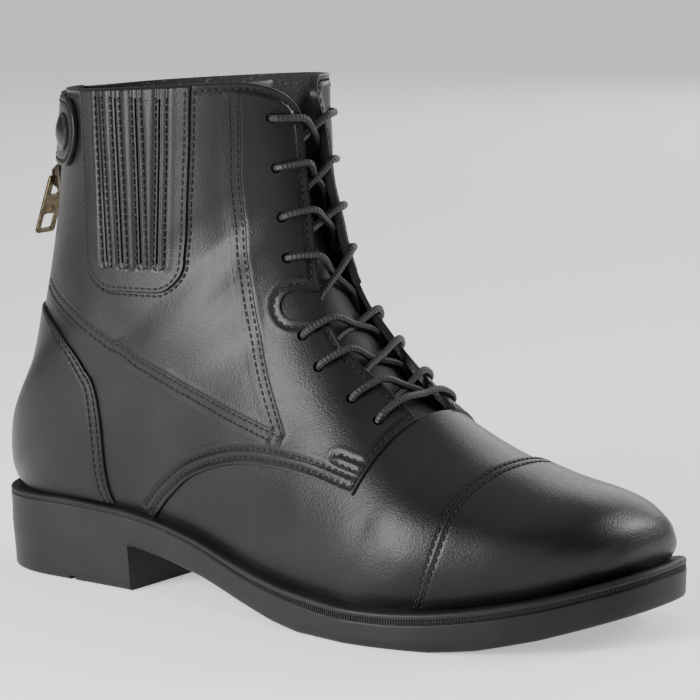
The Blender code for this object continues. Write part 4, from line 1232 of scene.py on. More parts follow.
@dataclass(frozen=True)
class Trace:
    """A line on one side of the form."""

    side: Side
    run: Array
    share: Array

    @classmethod
    def seen(cls, side: Side, line: Sequence[tuple[float, float]], step: float = 0.7) -> "Trace":
        """A smooth line through points seen from the side, in steps of about this length.

        Args:
            side: the side of the boot.
            line: x and z of the points.
            step: that length.

        Returns:
            The line.
        """
        points = np.asarray(line, float)
        length = running_length(points)
        at = np.linspace(0.0, length[-1], max(3, int(length[-1] / step)))
        x, z = smooth_curve(length, points)(at).T
        run, share = LAST.locate(x, z, side.value)
        return cls(side, run, side.value * share)

    def part(self, keep: Array) -> "Trace":
        """The places of the line that are kept."""
        return Trace(self.side, self.run[keep], self.share[keep])

    def points(self, height: Any = 0.0) -> Array:
        """Points over the form."""
        return LAST.raised(self.run, self.share, height)

    def normals(self) -> Array:
        """Outward normals of the form along the line."""
        return LAST.normal(self.run, self.share)

    def length(self) -> Array:
        """Length along the line."""
        return running_length(LAST.point(self.run, self.share))

    def trimmed(self, start: float, end: float) -> "Trace":
        """The line without these lengths at its ends."""
        length = self.length()
        return self.part((length >= start) & (length <= length[-1] - end))

    def offset(self, distance: float) -> "Trace":
        """The line moved sideways: forward for a line that goes down.

        Args:
            distance: how far.

        Returns:
            The moved line.
        """
        points = LAST.point(self.run, self.share)
        aside = -self.side.value * unit(np.cross(self.normals(), np.gradient(points, axis=0)))
        return Trace(self.side, *LAST.settle(points + distance * aside, self.run, self.share))


@dataclass(frozen=True)
class StitchRow:
    """A row of stitches: points on the leather and the way out of it."""

    points: Array
    out: Array

    @classmethod
    def on_form(cls, run: Array, share: Array, height: Any) -> "StitchRow":
        """A row over places on the form."""
        return cls(LAST.raised(run, share, height), LAST.normal(run, share))

    @classmethod
    def on_back(cls, z: Array, arc: Array, height: Any) -> "StitchRow":
        """A row over places around the back."""
        points = LAST.over_back(z, arc, height)
        return cls(points, unit(LAST.over_back(z, arc, height + 1.0) - points))


class Shape(Enum):
    """What is set along a line."""

    STITCH = "GeometryNodeMeshUVSphere"
    BLOCK = "GeometryNodeMeshCube"


@dataclass(frozen=True)
class Repeater:
    """Sets one small shape along lines at an even pitch, with Geometry Nodes."""

    name: str
    shape: Shape
    pitch: float
    size: tuple[float, float, float]

    def _tree(self) -> bpy.types.NodeTree:
        """The node tree, with inputs for pitch, size and material.

        Returns:
            The tree.
        """
        tree = bpy.data.node_groups.new(self.name + "_along_lines", "GeometryNodeTree")
        sockets = {"Lines": "Geometry", "Pitch": "Float", "Size": "Vector", "Finish": "Material"}
        for name, kind in sockets.items():
            tree.interface.new_socket(name, in_out="INPUT", socket_type="NodeSocket" + kind)
        tree.interface.new_socket("Pieces", in_out="OUTPUT", socket_type="NodeSocketGeometry")
        made = {}
        for key, kind in (
                ("inputs", "NodeGroupInput"), ("outputs", "NodeGroupOutput"), ("shape", self.shape.value),
                ("curve", "GeometryNodeMeshToCurve"), ("even", "GeometryNodeResampleCurve"),
                ("sized", "GeometryNodeTransform"), ("tangent", "GeometryNodeInputTangent"),
                ("set", "GeometryNodeInstanceOnPoints"), ("out", "GeometryNodeInputNamedAttribute"),
                ("turn", "FunctionNodeAxesToRotation"), ("real", "GeometryNodeRealizeInstances"),
                ("smooth", "GeometryNodeSetShadeSmooth"), ("finish", "GeometryNodeSetMaterial")):
            made[key] = tree.nodes.new(kind)
        made["even"].mode = "LENGTH"
        made["out"].data_type = "FLOAT_VECTOR"
        made["out"].inputs["Name"].default_value = "out"
        made["turn"].primary_axis = "Z"
        made["turn"].secondary_axis = "X"
        if self.shape is Shape.STITCH:
            for name, value in (("Segments", 8), ("Rings", 5), ("Radius", 0.5)):
                made["shape"].inputs[name].default_value = value
        made["smooth"].inputs["Shade Smooth"].default_value = self.shape is Shape.STITCH
        for source, output, target, entry in (
                ("inputs", "Lines", "curve", "Mesh"), ("curve", 0, "even", "Curve"),
                ("inputs", "Pitch", "even", "Length"), ("shape", "Mesh", "sized", "Geometry"),
                ("inputs", "Size", "sized", "Scale"), ("even", 0, "set", "Points"),
                ("sized", 0, "set", "Instance"), ("tangent", 0, "turn", 1), ("out", "Attribute", "turn", 0),
                ("turn", 0, "set", "Rotation"), ("set", 0, "real", "Geometry"),
                ("real", 0, "smooth", "Geometry"), ("smooth", 0, "finish", "Geometry"),
                ("inputs", "Finish", "finish", "Material"), ("finish", 0, "outputs", "Pieces")):
            tree.links.new(made[source].outputs[output], made[target].inputs[entry])
        return tree

    def build(self, rows: Iterable[StitchRow], finish: Material) -> Object:
        """The shapes along all rows, as one plain mesh.

        Args:
            rows: where the shapes go.
            finish: their material.

        Returns:
            The object.
        """
        points, edges, out = [], [], []
        for row in rows:
            first = len(points)
            points += list(to_frame(row.points))
            out += list(row.out)
            edges += [(first + i, first + i + 1) for i in range(len(row.points) - 1)]
        data = bpy.data.meshes.new(self.name)
        data.from_pydata(points, edges, [])
        data.attributes.new("out", "FLOAT_VECTOR", "POINT").data.foreach_set("vector", np.ravel(out))
        obj = linked(self.name, data)
        modifier = obj.modifiers.new("along_lines", "NODES")
        modifier.node_group = self._tree()
        values = {"Pitch": self.pitch * MM, "Size": tuple(v * MM for v in self.size), "Finish": finish}
        for item in modifier.node_group.interface.items_tree:
            if item.name in values:
                modifier[item.identifier] = values[item.name]
        return evaluated(obj)


# Sole

class Ring:
    """A closed outline: from the heel along the lateral side to the toe and back along the medial side."""

    HEEL = 40
    FORE = 140

    def __init__(self, edge: Callable[[Any], tuple[Array, Array]], start: float, end: float) -> None:
        """Lays points along an outline.

        Args:
            edge: gives the lateral and the medial y at x.
            start, end: x of the two ends.
        """
        breast = SOLE.breast_x / SOLE.length
        heel = breast * (1 - np.cos(np.linspace(0.0, math.pi / 2, self.HEEL)))
        fore = breast + (1 - breast) * np.sin(np.linspace(0.0, math.pi / 2, self.FORE))
        x = start + (end - start) * np.concatenate((heel, fore[1:]))
        self.count = len(x) - 1
        low, high = edge(x)
        self.line = np.concatenate((np.stack([x, low], -1), np.stack([x, high], -1)[-2:0:-1]))
        along = unit(np.roll(self.line, -1, axis=0) - np.roll(self.line, 1, axis=0))
        self.inward = np.stack([-along[:, 1], along[:, 0]], -1)
        station = np.arange(2 * self.count)
        self.ahead = np.minimum(station, 2 * self.count - station) > self.HEEL - 1

    def level(self, inset: Any, z: Any) -> Array:
        """The outline drawn in by inset, at these heights."""
        inset = np.broadcast_to(inset, len(self.line))[:, None]
        return np.column_stack((self.line + self.inward * inset, np.broadcast_to(z, len(self.line))))

    def levels(self, *rows: tuple[Any, Any]) -> list[Array]:
        """The outline at several levels, each an inset and a height."""
        return [self.level(inset, z) for inset, z in rows]

    def halves(self, line: Array, first: int, last: int) -> Array:
        """Lateral and medial points of a ring between two stations."""
        at = np.arange(first, last + 1)
        return np.stack([line[at], line[(2 * self.count - at) % (2 * self.count)]])


@dataclass
class Sole:
    """Outsole with heel, welt with its ribbed groove, and footbed."""

    rubber: RubberFinish = RubberFinish()
    bed: ClothFinish = ClothFinish(fleck=(0.03, 0.029, 0.028), thread_mm=0.8, depth_mm=0.08)
    groove_wide: float = 3.0
    groove_deep: float = 1.7
    groove_margin: float = 9.0
    rib_start: float = 150.0
    rib_pitch: float = 1.0
    rib_size: tuple[float, float, float] = (0.5, 1.3, 0.7)
    lip_inset: float = 10.0

    TREAD = (22.0, 66.0, 166.0, 180.0, 194.0, 208.0, 222.0, 236.0)
    OPEN_GROOVE = GrooveRow(49.0, -2.0)

    def build(self) -> None:
        """Makes the moulding, the lip with its ribs, and the footbed."""
        ring = Ring(SOLE.edge, 0.0, SOLE.length)
        self.moulding = cut(self._moulding(ring), self._tread())
        self.ribs = self._ribs(ring)
        self.lip = self._lip(ring)
        self.footbed = self._footbed()

    def dress(self) -> list[Object]:
        """Gives the pieces their rubber and cloth.

        Returns:
            The finished pieces.
        """
        return [
            fit(self.moulding, "sole_rubber", "outsole", self.rubber.material("sole_rubber_matt")),
            fit(self.ribs, "welt_rubber", "welt"),
            fit(self.lip, "welt_rubber", "welt", self.rubber.material("welt_rubber_lip")),
            fit(self.footbed, "insole_leather", "insole", self.bed.material("footbed_cover")),
        ]

    def _moulding(self, ring: Ring) -> Object:
        """The sole with its heel block and breast.

        Args:
            ring: the sole's outline.

        Returns:
            The object.
        """
        x = ring.line[:, 0]
        top = SOLE.top(x) - SOLE.welt(x) - 0.15
        under = SOLE.under(x)
        ahead = ring.ahead.astype(float)
        levels = ring.levels(
            (2.6, top), (0.5, top), (0.15, top - 0.06), (0.03, top - 0.3), (0.0, top - 0.8),
            (0.15, (top * 3 + under) / 4), (0.2, (top + under) / 2), (0.1 + 0.25 * ahead, under + 1.6),
            (0.1 + 0.7 * ahead, under + 0.7), (0.1 + 1.5 * ahead, under + 0.15 * ahead),
            (0.1 + 2.4 * ahead, under))
        heel = levels[-1:] + ring.levels(
            (0.35, under * 0.75), (0.6, under * 0.5), (0.8, under * 0.25), (0.9, 1.2), (1.2, 0.5),
            (1.9, 0.08), (2.6, 0.0))
        sheet = Sheet("outsole_moulding")
        sheet.grid(np.array(levels), closed=True)
        breast = ring.HEEL - 1
        sheet.strip(*ring.halves(levels[0], 0, ring.count))
        sheet.strip(*ring.halves(levels[-1], breast, ring.count))
        sheet.strip(*ring.halves(heel[-1], 0, breast))
        walls = []
        for line in heel:
            lateral, medial = ring.halves(line, 0, breast)
            walls.append(np.concatenate((lateral[::-1], medial[1:])))
        sheet.grid(np.array(walls))
        sheet.strip(np.array([wall[0] for wall in walls]), np.array([wall[-1] for wall in walls]))
        return sheet.object(smooth_deg=35.0)

    def _tread(self) -> Object:
        """Cross grooves under heel and ball.

        Returns:
            The shape that cuts them.
        """
        shape = bmesh.new()
        for groove in [GrooveRow(x, self.groove_margin) for x in self.TREAD] + [self.OPEN_GROOVE]:
            low, high = SOLE.edge(groove.x)
            near, far = low[0] + groove.margin, high[0] - groove.margin
            floor = float(SOLE.under(groove.x)) if groove.x > SOLE.breast_x else 0.0
            size = Matrix.Diagonal((self.groove_wide * MM, (far - near) * MM, 2 * self.groove_deep * MM, 1.0))
            centre = Vector(to_frame((groove.x, (near + far) / 2, floor)))
            bmesh.ops.create_cube(shape, size=1.0, matrix=Matrix.Translation(centre) @ size)
        return cutter("tread_cutter", shape)

    def _lip(self, ring: Ring) -> Object:
        """The lip around the sole's edge, thin and stepped at the heel and round at the ball.

        Args:
            ring: the sole's outline.

        Returns:
            The object.
        """
        x = ring.line[:, 0]
        top, thick, front = SOLE.top(x), SOLE.welt(x), SOLE.front_share(x)
        inner_top = SOLE.top(ring.level(self.lip_inset, 0.0)[:, 0])
        start, end = 1.35 + 0.95 * front, 1.65 + 2.15 * front
        deep = 0.35 + 0.35 * front
        levels = ring.levels(
            (self.lip_inset, inner_top), (1.6, top), (0.9, top - 0.06), (0.45, top - 0.3), (0.12, top - 0.65),
            (0.0, top - 1.0 - 0.2 * front), (0.02 + 0.1 * front, top - start + 0.2),
            (0.1 + 0.2 * front, top - start), (deep, top - start - 0.08), (deep, top - end + 0.08),
            (0.1, top - end), (0.05, top - thick + 0.1), (0.2, top - thick), (2.2, top - thick),
            (self.lip_inset, inner_top - thick))
        sheet = Sheet("welt_lip")
        sheet.grid(np.array(levels + levels[:1]), closed=True)
        return sheet.object(smooth_deg=50.0)

    def _ribs(self, ring: Ring) -> Object:
        """The fine ribs in the lip's groove, from the waist around the toe.

        Args:
            ring: the sole's outline.

        Returns:
            The object.
        """
        ahead = np.flatnonzero(ring.line[:, 0] > self.rib_start)
        x = ring.line[:, 0]
        middle = 1.5 + 1.55 * SOLE.front_share(x)
        points = ring.level(0.55, SOLE.top(x) - middle)[ahead]
        out = np.column_stack((-ring.inward, np.zeros(len(x))))[ahead]
        ribs = Repeater("lip_ribs", Shape.BLOCK, self.rib_pitch, self.rib_size)
        return ribs.build([StitchRow(points, out)], self.rubber.material("lip_rib_rubber"))

    def _footbed(self) -> Object:
        """The covered footbed.

        Returns:
            The object.
        """
        ring = Ring(SOLE.feather_line, SOLE.feather, SOLE.length - SOLE.feather)
        floor = SOLE.top(ring.line[:, 0]) + GAP
        levels = ring.levels((3.3, floor), (3.3, floor + 2.2), (3.8, floor + 2.9), (4.8, floor + 3.1))
        sheet = Sheet("covered_footbed")
        sheet.grid(np.array(levels), closed=True)
        for line in (levels[0], levels[-1]):
            sheet.strip(*ring.halves(line, 0, ring.count))
        return sheet.object()


# Upper

@dataclass
class Quarter:
    """One side of the upper behind the vamp: facing, shaft and heel, lined with cloth."""

    side: Side
    leather: LeatherFinish = LeatherFinish()
    lining: ClothFinish = ClothFinish()
    step: float = 1.0
    wall: float = 1.8
    front_run: float = 99.0
    hole_radius: float = 2.0
    hole_inset: float = 12.0
    edge_round: float = 0.8
    groove_deep: float = 0.45
    groove_wide: float = 0.9
    puff: float = 0.12
    lean_start: float = 168.0
    lean_most: float = 4.0

    EDGE = (
        HeightRow(193.5, 50.8), HeightRow(168.0, 55.5), HeightRow(141.0, 56.0), HeightRow(118.0, 49.8),
        HeightRow(104.0, 40.5), HeightRow(92.5, 30.0),
    )
    COLLAR = (0.0, 0.025, 0.06, 0.12, 0.22, 0.35, 0.49, 0.62, 0.74, 0.84, 0.915, 0.965, 1.0)
    CORNER = {Side.LATERAL: (26.0, 14.0), Side.MEDIAL: (9.0, 8.0)}
    HOLES = (180.0, 162.0, 144.0, 129.5, 102.5, 92.0, 81.5, 74.5)
    NOTCH = (154.0, 112.8)
    NOTCH_HALF = 5.6
    NOTCH_RUN = 16.0
    NOTCH_NEAR = 26.0
    GORE_SPAN = (64.0, 123.0)
    GORE_LOW = 170.0
    FRONT_PART = 5 / 12
    SHAFT_SEAM = (
        (134.0, 191.0), (132.6, 170.0), (131.7, 152.0), (134.3, 131.7), (138.0, 115.0), (144.0, 96.8),
        (151.6, 80.0), (158.8, 67.0),
    )
    ANKLE_SEAM = (
        (36.0, 114.4), (41.6, 112.0), (60.0, 104.0), (78.4, 94.6), (96.8, 87.0), (121.0, 78.0), (140.0, 72.0),
        (159.5, 66.4),
    )
    TACK = (
        (192.0, 58.6), (187.5, 59.8), (183.6, 60.8), (182.2, 61.6), (182.2, 62.8), (183.8, 63.5),
        (187.5, 62.8), (193.0, 61.6),
    )
    LAP_PROFILE = (
        (0.0, -0.1), (0.06, 0.16), (0.25, 0.29), (0.7, 0.33), (2.2, 0.32), (4.0, 0.26), (5.6, 0.08),
        (6.6, -0.15),
    )
    LAP_LIFT = 0.3
    STITCH_LIFT = 0.1

    def __post_init__(self) -> None:
        """Plans the seams, whose grooves shape the leather."""
        self.seams: list[tuple[Trace, float]] = []
        self._plan_edges()
        self._plan_throat()
        self._plan_shaft()
        places = [LAST.point(trace.run, trace.share) for trace, _ in self.seams]
        self.grooves = point_tree(np.concatenate(places))

    def _edge_trace(self, first: float, last: float, count: int) -> Trace:
        """A part of the front and lower edge."""
        run, share = self.edge_places(np.linspace(first, last, count))
        return Trace(self.side, run, self.side.value * share)

    def _plan_edges(self) -> None:
        """Rows along the front and lower edge, and the bar tack at the front."""
        front = self._edge_trace(0.0, self.FRONT_PART, 70)
        lower = self._edge_trace(self.FRONT_PART, 1.0, 170)
        self.seams.append((front.offset(-2.1).trimmed(1.0, 2.2), 0.0))
        for inset in (2.5, 6.0):
            self.seams.append((lower.offset(-inset).trimmed(2.2, 0.5), 0.0))
        self.seams.append((Trace.seen(self.side, self.TACK, 0.5), 0.0))

    def _plan_throat(self) -> None:
        """The row along collar and facing, and around the ankle notch."""
        count = 240
        falling = np.linspace(1.0, 0.0, count)
        run, share = self.places(np.ones(1), falling)
        down_run, down_share = self.places(falling[1:], np.zeros(1))
        edge = Trace(
            self.side, np.concatenate((run[0], down_run[:, 0])),
            self.side.value * np.concatenate((share[0], down_share[:, 0])))
        row = edge.offset(-2.3).trimmed(2.0, 2.0)
        point = LAST.point(row.run, row.share)
        back, front = self.GORE_SPAN
        under_gore = (point[:, 0] > back) & (point[:, 0] < front) & (point[:, 2] > self.GORE_LOW)
        centre, right, up = self._notch()
        notch = np.linalg.norm(point - centre, axis=1)
        reach = self.NOTCH_HALF + 2.5
        level = np.abs(point[:, 2] - centre[2]) < reach + 0.6
        ahead = (np.arange(len(point)) > count) & level & (notch < self.NOTCH_NEAR)
        keep = ~(under_gore | ahead)
        starts = np.flatnonzero(np.diff(np.concatenate(([0], keep.astype(int), [0]))))
        for first, last in zip(starts[::2], starts[1::2]):
            if last - first > 4:
                self.seams.append((row.part(np.arange(first, last)), 0.0))
        angle = np.linspace(math.pi / 2, 3 * math.pi / 2, 40)
        along = np.concatenate((np.linspace(8.5, 0.3, 14), reach * np.cos(angle), np.linspace(0.3, 8.5, 14)))
        rise = np.concatenate((np.full(14, reach), reach * np.sin(angle), np.full(14, -reach)))
        points = centre + along[:, None] * right + rise[:, None] * up
        run, share = LAST.locate(points[:, 0], points[:, 2], self.side.value)
        self.seams.append((Trace(self.side, *LAST.settle(points, run, self.side.value * share)), 0.0))

    def _plan_shaft(self) -> None:
        """Double rows along the two edges of the shaft panel."""
        shaft = Trace.seen(self.side, self.SHAFT_SEAM)
        ankle = Trace.seen(self.side, self.ANKLE_SEAM)
        self.laps = [shaft.offset(1.7).trimmed(0.5, 0.0), ankle.offset(1.7)]
        for trace, aside, start, end in (
                (shaft, 0.5, 3.0, 1.0), (shaft, -2.1, 3.0, 5.0), (ankle, 0.5, 0.0, 1.5),
                (ankle, -2.3, 0.0, 6.0)):
            self.seams.append((trace.offset(aside).trimmed(start, end), self.LAP_LIFT))

    def _notch(self) -> tuple[Array, Array, Array]:
        """Middle of the ankle notch's round end, and the ways to the throat and up.

        Returns:
            The point and the two ways.
        """
        run, share = LAST.locate(*self.NOTCH, self.side.value)
        share = self.side.value * share
        placed = frame_matrix(LAST.point(run, share), LAST.normal(run, share)).to_3x3()
        return LAST.point(run, share), -self.side.value * np.array(placed.col[0]), np.array(placed.col[1])

    def stitch_rows(self) -> list[StitchRow]:
        """All rows on the quarter.

        Returns:
            The rows.
        """
        rows = []
        for trace, extra in self.seams:
            height = self.height(trace.run, np.abs(trace.share)) + extra + self.STITCH_LIFT
            rows.append(StitchRow.on_form(trace.run, trace.share, height))
        return rows

    def _lap_edges(self) -> Object:
        """The lapped edges of the shaft panel.

        Returns:
            The object.
        """
        sheet = Sheet("shaft_panel_edges_" + self.side.word)
        for place, edge in enumerate(self.laps):
            top, low = [], []
            for inward, rise in self.LAP_PROFILE:
                line = edge.offset(-inward) if inward else edge
                height = self.height(line.run, np.abs(line.share))
                top.append(line.points(height + rise - 0.015 * place))
                low.append(line.points(height - 0.3))
            sheet.shell(np.array(low), np.array(top))
        return sheet.object()

    def edge_places(self, column: Array) -> tuple[Array, Array]:
        """Run and share along the front and lower edge, for columns from the facing down to the sole.

        Args:
            column: places along the edge, from 0 to 1.

        Returns:
            Runs, and shares above zero.
        """
        side = self.side.value
        corner_run, corner_share = LAST.locate(self.EDGE[0].x, self.EDGE[0].z, side)
        start = float(LAST.facing(self.front_run))
        part = np.clip(column / self.FRONT_PART, 0.0, 1.0)
        front = (self.front_run + part * (corner_run - self.front_run), start + part * (corner_share - start))
        lower = np.clip((column - self.FRONT_PART) / (1 - self.FRONT_PART), 0.0, 1.0)
        edge = smooth_curve(range(len(self.EDGE)), self.EDGE)((len(self.EDGE) - 1) * (1 - (1 - lower) ** 1.6))
        run, share = LAST.locate(edge[:, 0], edge[:, 1], side)
        share = np.where(column >= 1.0, 1.0, share)
        ahead = column <= self.FRONT_PART
        return np.where(ahead, front[0], run), np.where(ahead, front[1], share)

    def places(self, rows: Array, columns: Array) -> tuple[Array, Array]:
        """Run and share over the quarter, for rows from the front edge up to the collar.

        Args:
            rows, columns: places from 0 to 1.

        Returns:
            Grids of runs, and of shares above zero.
        """
        first_run, first_share = self.edge_places(columns)
        opening = LAST.facing(first_run)
        first = (first_share - opening) / (1 - opening)
        top = smooth_curve(np.linspace(0.0, 1.0, len(self.COLLAR)), self.COLLAR)(columns)[:, 0]
        reach = top * (1 - float(LAST.facing(LAST.end))) * float(LAST.length(LAST.end, self.side.value))
        corner, deep = self.CORNER[self.side]
        drop = deep / corner * rounded(reach, corner)
        last_run = np.where(reach >= corner, LAST.end, LAST.ridge_run(SECTIONS[-1].top_z - drop))
        run = first_run + rows[:, None] * (last_run - first_run)
        across = first + rows[:, None] * (top - first)
        opening = LAST.facing(run)
        return run, opening + (1 - opening) * across

    def hole_place(self, number: int) -> tuple[float, float]:
        """Run and signed share of a lace hole, counted from the top.

        Args:
            number: the hole.

        Returns:
            The place.
        """
        runs = np.linspace(self.front_run, LAST.end, 1200)
        shares = LAST.facing(runs) + self.hole_inset / LAST.length(runs, self.side.value)
        heights = LAST.point(runs, self.side.value * shares)[:, 2]
        run = float(np.interp(self.HOLES[number], heights, runs))
        return run, self.side.value * float(np.interp(run, runs, shares))

    def build(self) -> None:
        """Makes the panel with its holes and ankle notch, its lapped edges and the notch's backing."""
        self.panel = cut(self._panel(), self._punches())
        self.edges = self._lap_edges()
        self.backing = self._notch_backing()

    def dress(self) -> list[Object]:
        """Gives the pieces their leather and lining.

        Returns:
            The finished pieces.
        """
        word, leather = self.side.word, self.leather.material
        faces = leather("quarter_leather_" + word), self.lining.material("quarter_lining_" + word)
        return [
            fit(self.edges, "upper_leather", "upper", leather("shaft_panel_leather_" + word)),
            fit(self.backing, "upper_leather", "upper", leather("notch_backing_leather_" + word)),
            fit(self.panel, "upper_leather", "upper", *faces),
        ]

    def _panel(self) -> Object:
        """The lined sheet, with finer rows and columns along its edges.

        Returns:
            The object.
        """
        near = np.array((0.0, 0.15, 0.35, 0.6, 0.9, 1.3, 1.9))
        rows = np.unique(np.concatenate((near / 190, np.linspace(0.012, 0.988, 250), 1 - near / 190)))
        columns = np.unique(np.concatenate((near / 130, np.linspace(0.018, 1.0, 160), [self.FRONT_PART])))
        run, share = self.places(rows, columns)
        outer = self._outer(run, share)
        points = LAST.point(run, self.side.value * share)
        inner = LAST.raised(run, self.side.value * share, -self.wall - self.lean(points))
        sheet = Sheet("quarter_" + self.side.word)
        sheet.shell(inner, outer, 1)
        return sheet.object(2)

    def _notch_backing(self) -> Object:
        """The leather behind the ankle notch.

        Returns:
            The object.
        """
        centre, right, up = self._notch()
        along, rise = np.meshgrid(np.linspace(-8.5, 17.0, 36), np.linspace(-8.5, 8.5, 24), indexing="ij")
        points = centre + along[..., None] * right + rise[..., None] * up
        run, share = LAST.locate(points[..., 0], points[..., 2], self.side.value)
        run, share = LAST.settle(points, run, self.side.value * share)
        inside = LAST.facing(run) + 0.4 / LAST.length(run, self.side.value)
        share = self.side.value * np.maximum(np.abs(share), inside)
        sheet = Sheet("notch_backing_" + self.side.word)
        sheet.shell(LAST.raised(run, share, -1.5), LAST.raised(run, share, 0.3))
        return sheet.object()

    def height(self, run: Array, share: Array) -> Array:
        """Height of the outer leather over the form.

        Args:
            run, share: places, with the share above zero.

        Returns:
            A height for each.
        """
        points = LAST.point(run, self.side.value * share)
        apart = np.array([self.grooves.find(point)[2] for point in points.reshape(-1, 3)]).reshape(run.shape)
        groove = self.groove_deep * bell(apart, self.groove_wide)
        puff = self.puff * bell(apart - 2.0, 0.9)
        return self.step - relief(points, self.side) - groove + puff - self.lean(points)

    def lean(self, points: Array) -> Array:
        """How far the collar's front corner of the medial side leans into the opening.

        Args:
            points: points on the form.

        Returns:
            A distance for each.
        """
        if self.side is Side.LATERAL:
            return np.zeros(points.shape[:-1])
        rise = np.clip((points[..., 2] - self.lean_start) / (SECTIONS[-1].top_z - self.lean_start), 0.0, 1.0)
        return self.lean_most * rise * rise * bell(points[..., 1] - 8.0, 16.0)

    def _outer(self, run: Array, share: Array) -> Array:
        """Outer points, with rounded free edges.

        Args:
            run, share: a grid of places, with the share above zero.

        Returns:
            The points.
        """
        points = LAST.point(run, self.side.value * share)
        along, across = running_length(points, 0), running_length(points, 1)
        free = np.minimum(np.minimum(along, along[-1] - along), across)
        height = self.height(run, share) - rounded(free, self.edge_round)
        return LAST.raised(run, self.side.value * share, height)

    def _punches(self) -> Object:
        """Cutters for the lace holes and the ankle notch.

        Returns:
            The shape that cuts them.
        """
        shape = bmesh.new()
        size = self.hole_radius * MM
        for number in range(len(self.HOLES)):
            run, share = self.hole_place(number)
            placed = frame_matrix(LAST.point(run, share), LAST.normal(run, share))
            bmesh.ops.create_cone(
                shape, cap_ends=True, segments=24, radius1=size, radius2=size, depth=9.0 * MM, matrix=placed)
        run, share = LAST.locate(*self.NOTCH, self.side.value)
        share = self.side.value * share
        size = self.NOTCH_HALF * MM
        made = bmesh.ops.create_cone(
            shape, cap_ends=True, segments=48, radius1=size, radius2=size, depth=12.0 * MM)
        towards = -self.side.value * self.NOTCH_RUN * MM
        for vert in made["verts"]:
            if vert.co.x * towards > 0.01 * MM * abs(towards):
                vert.co.x += towards
        placed = frame_matrix(LAST.point(run, share), LAST.normal(run, share))
        bmesh.ops.transform(shape, matrix=placed, verts=made["verts"])
        return cutter("punches", shape)


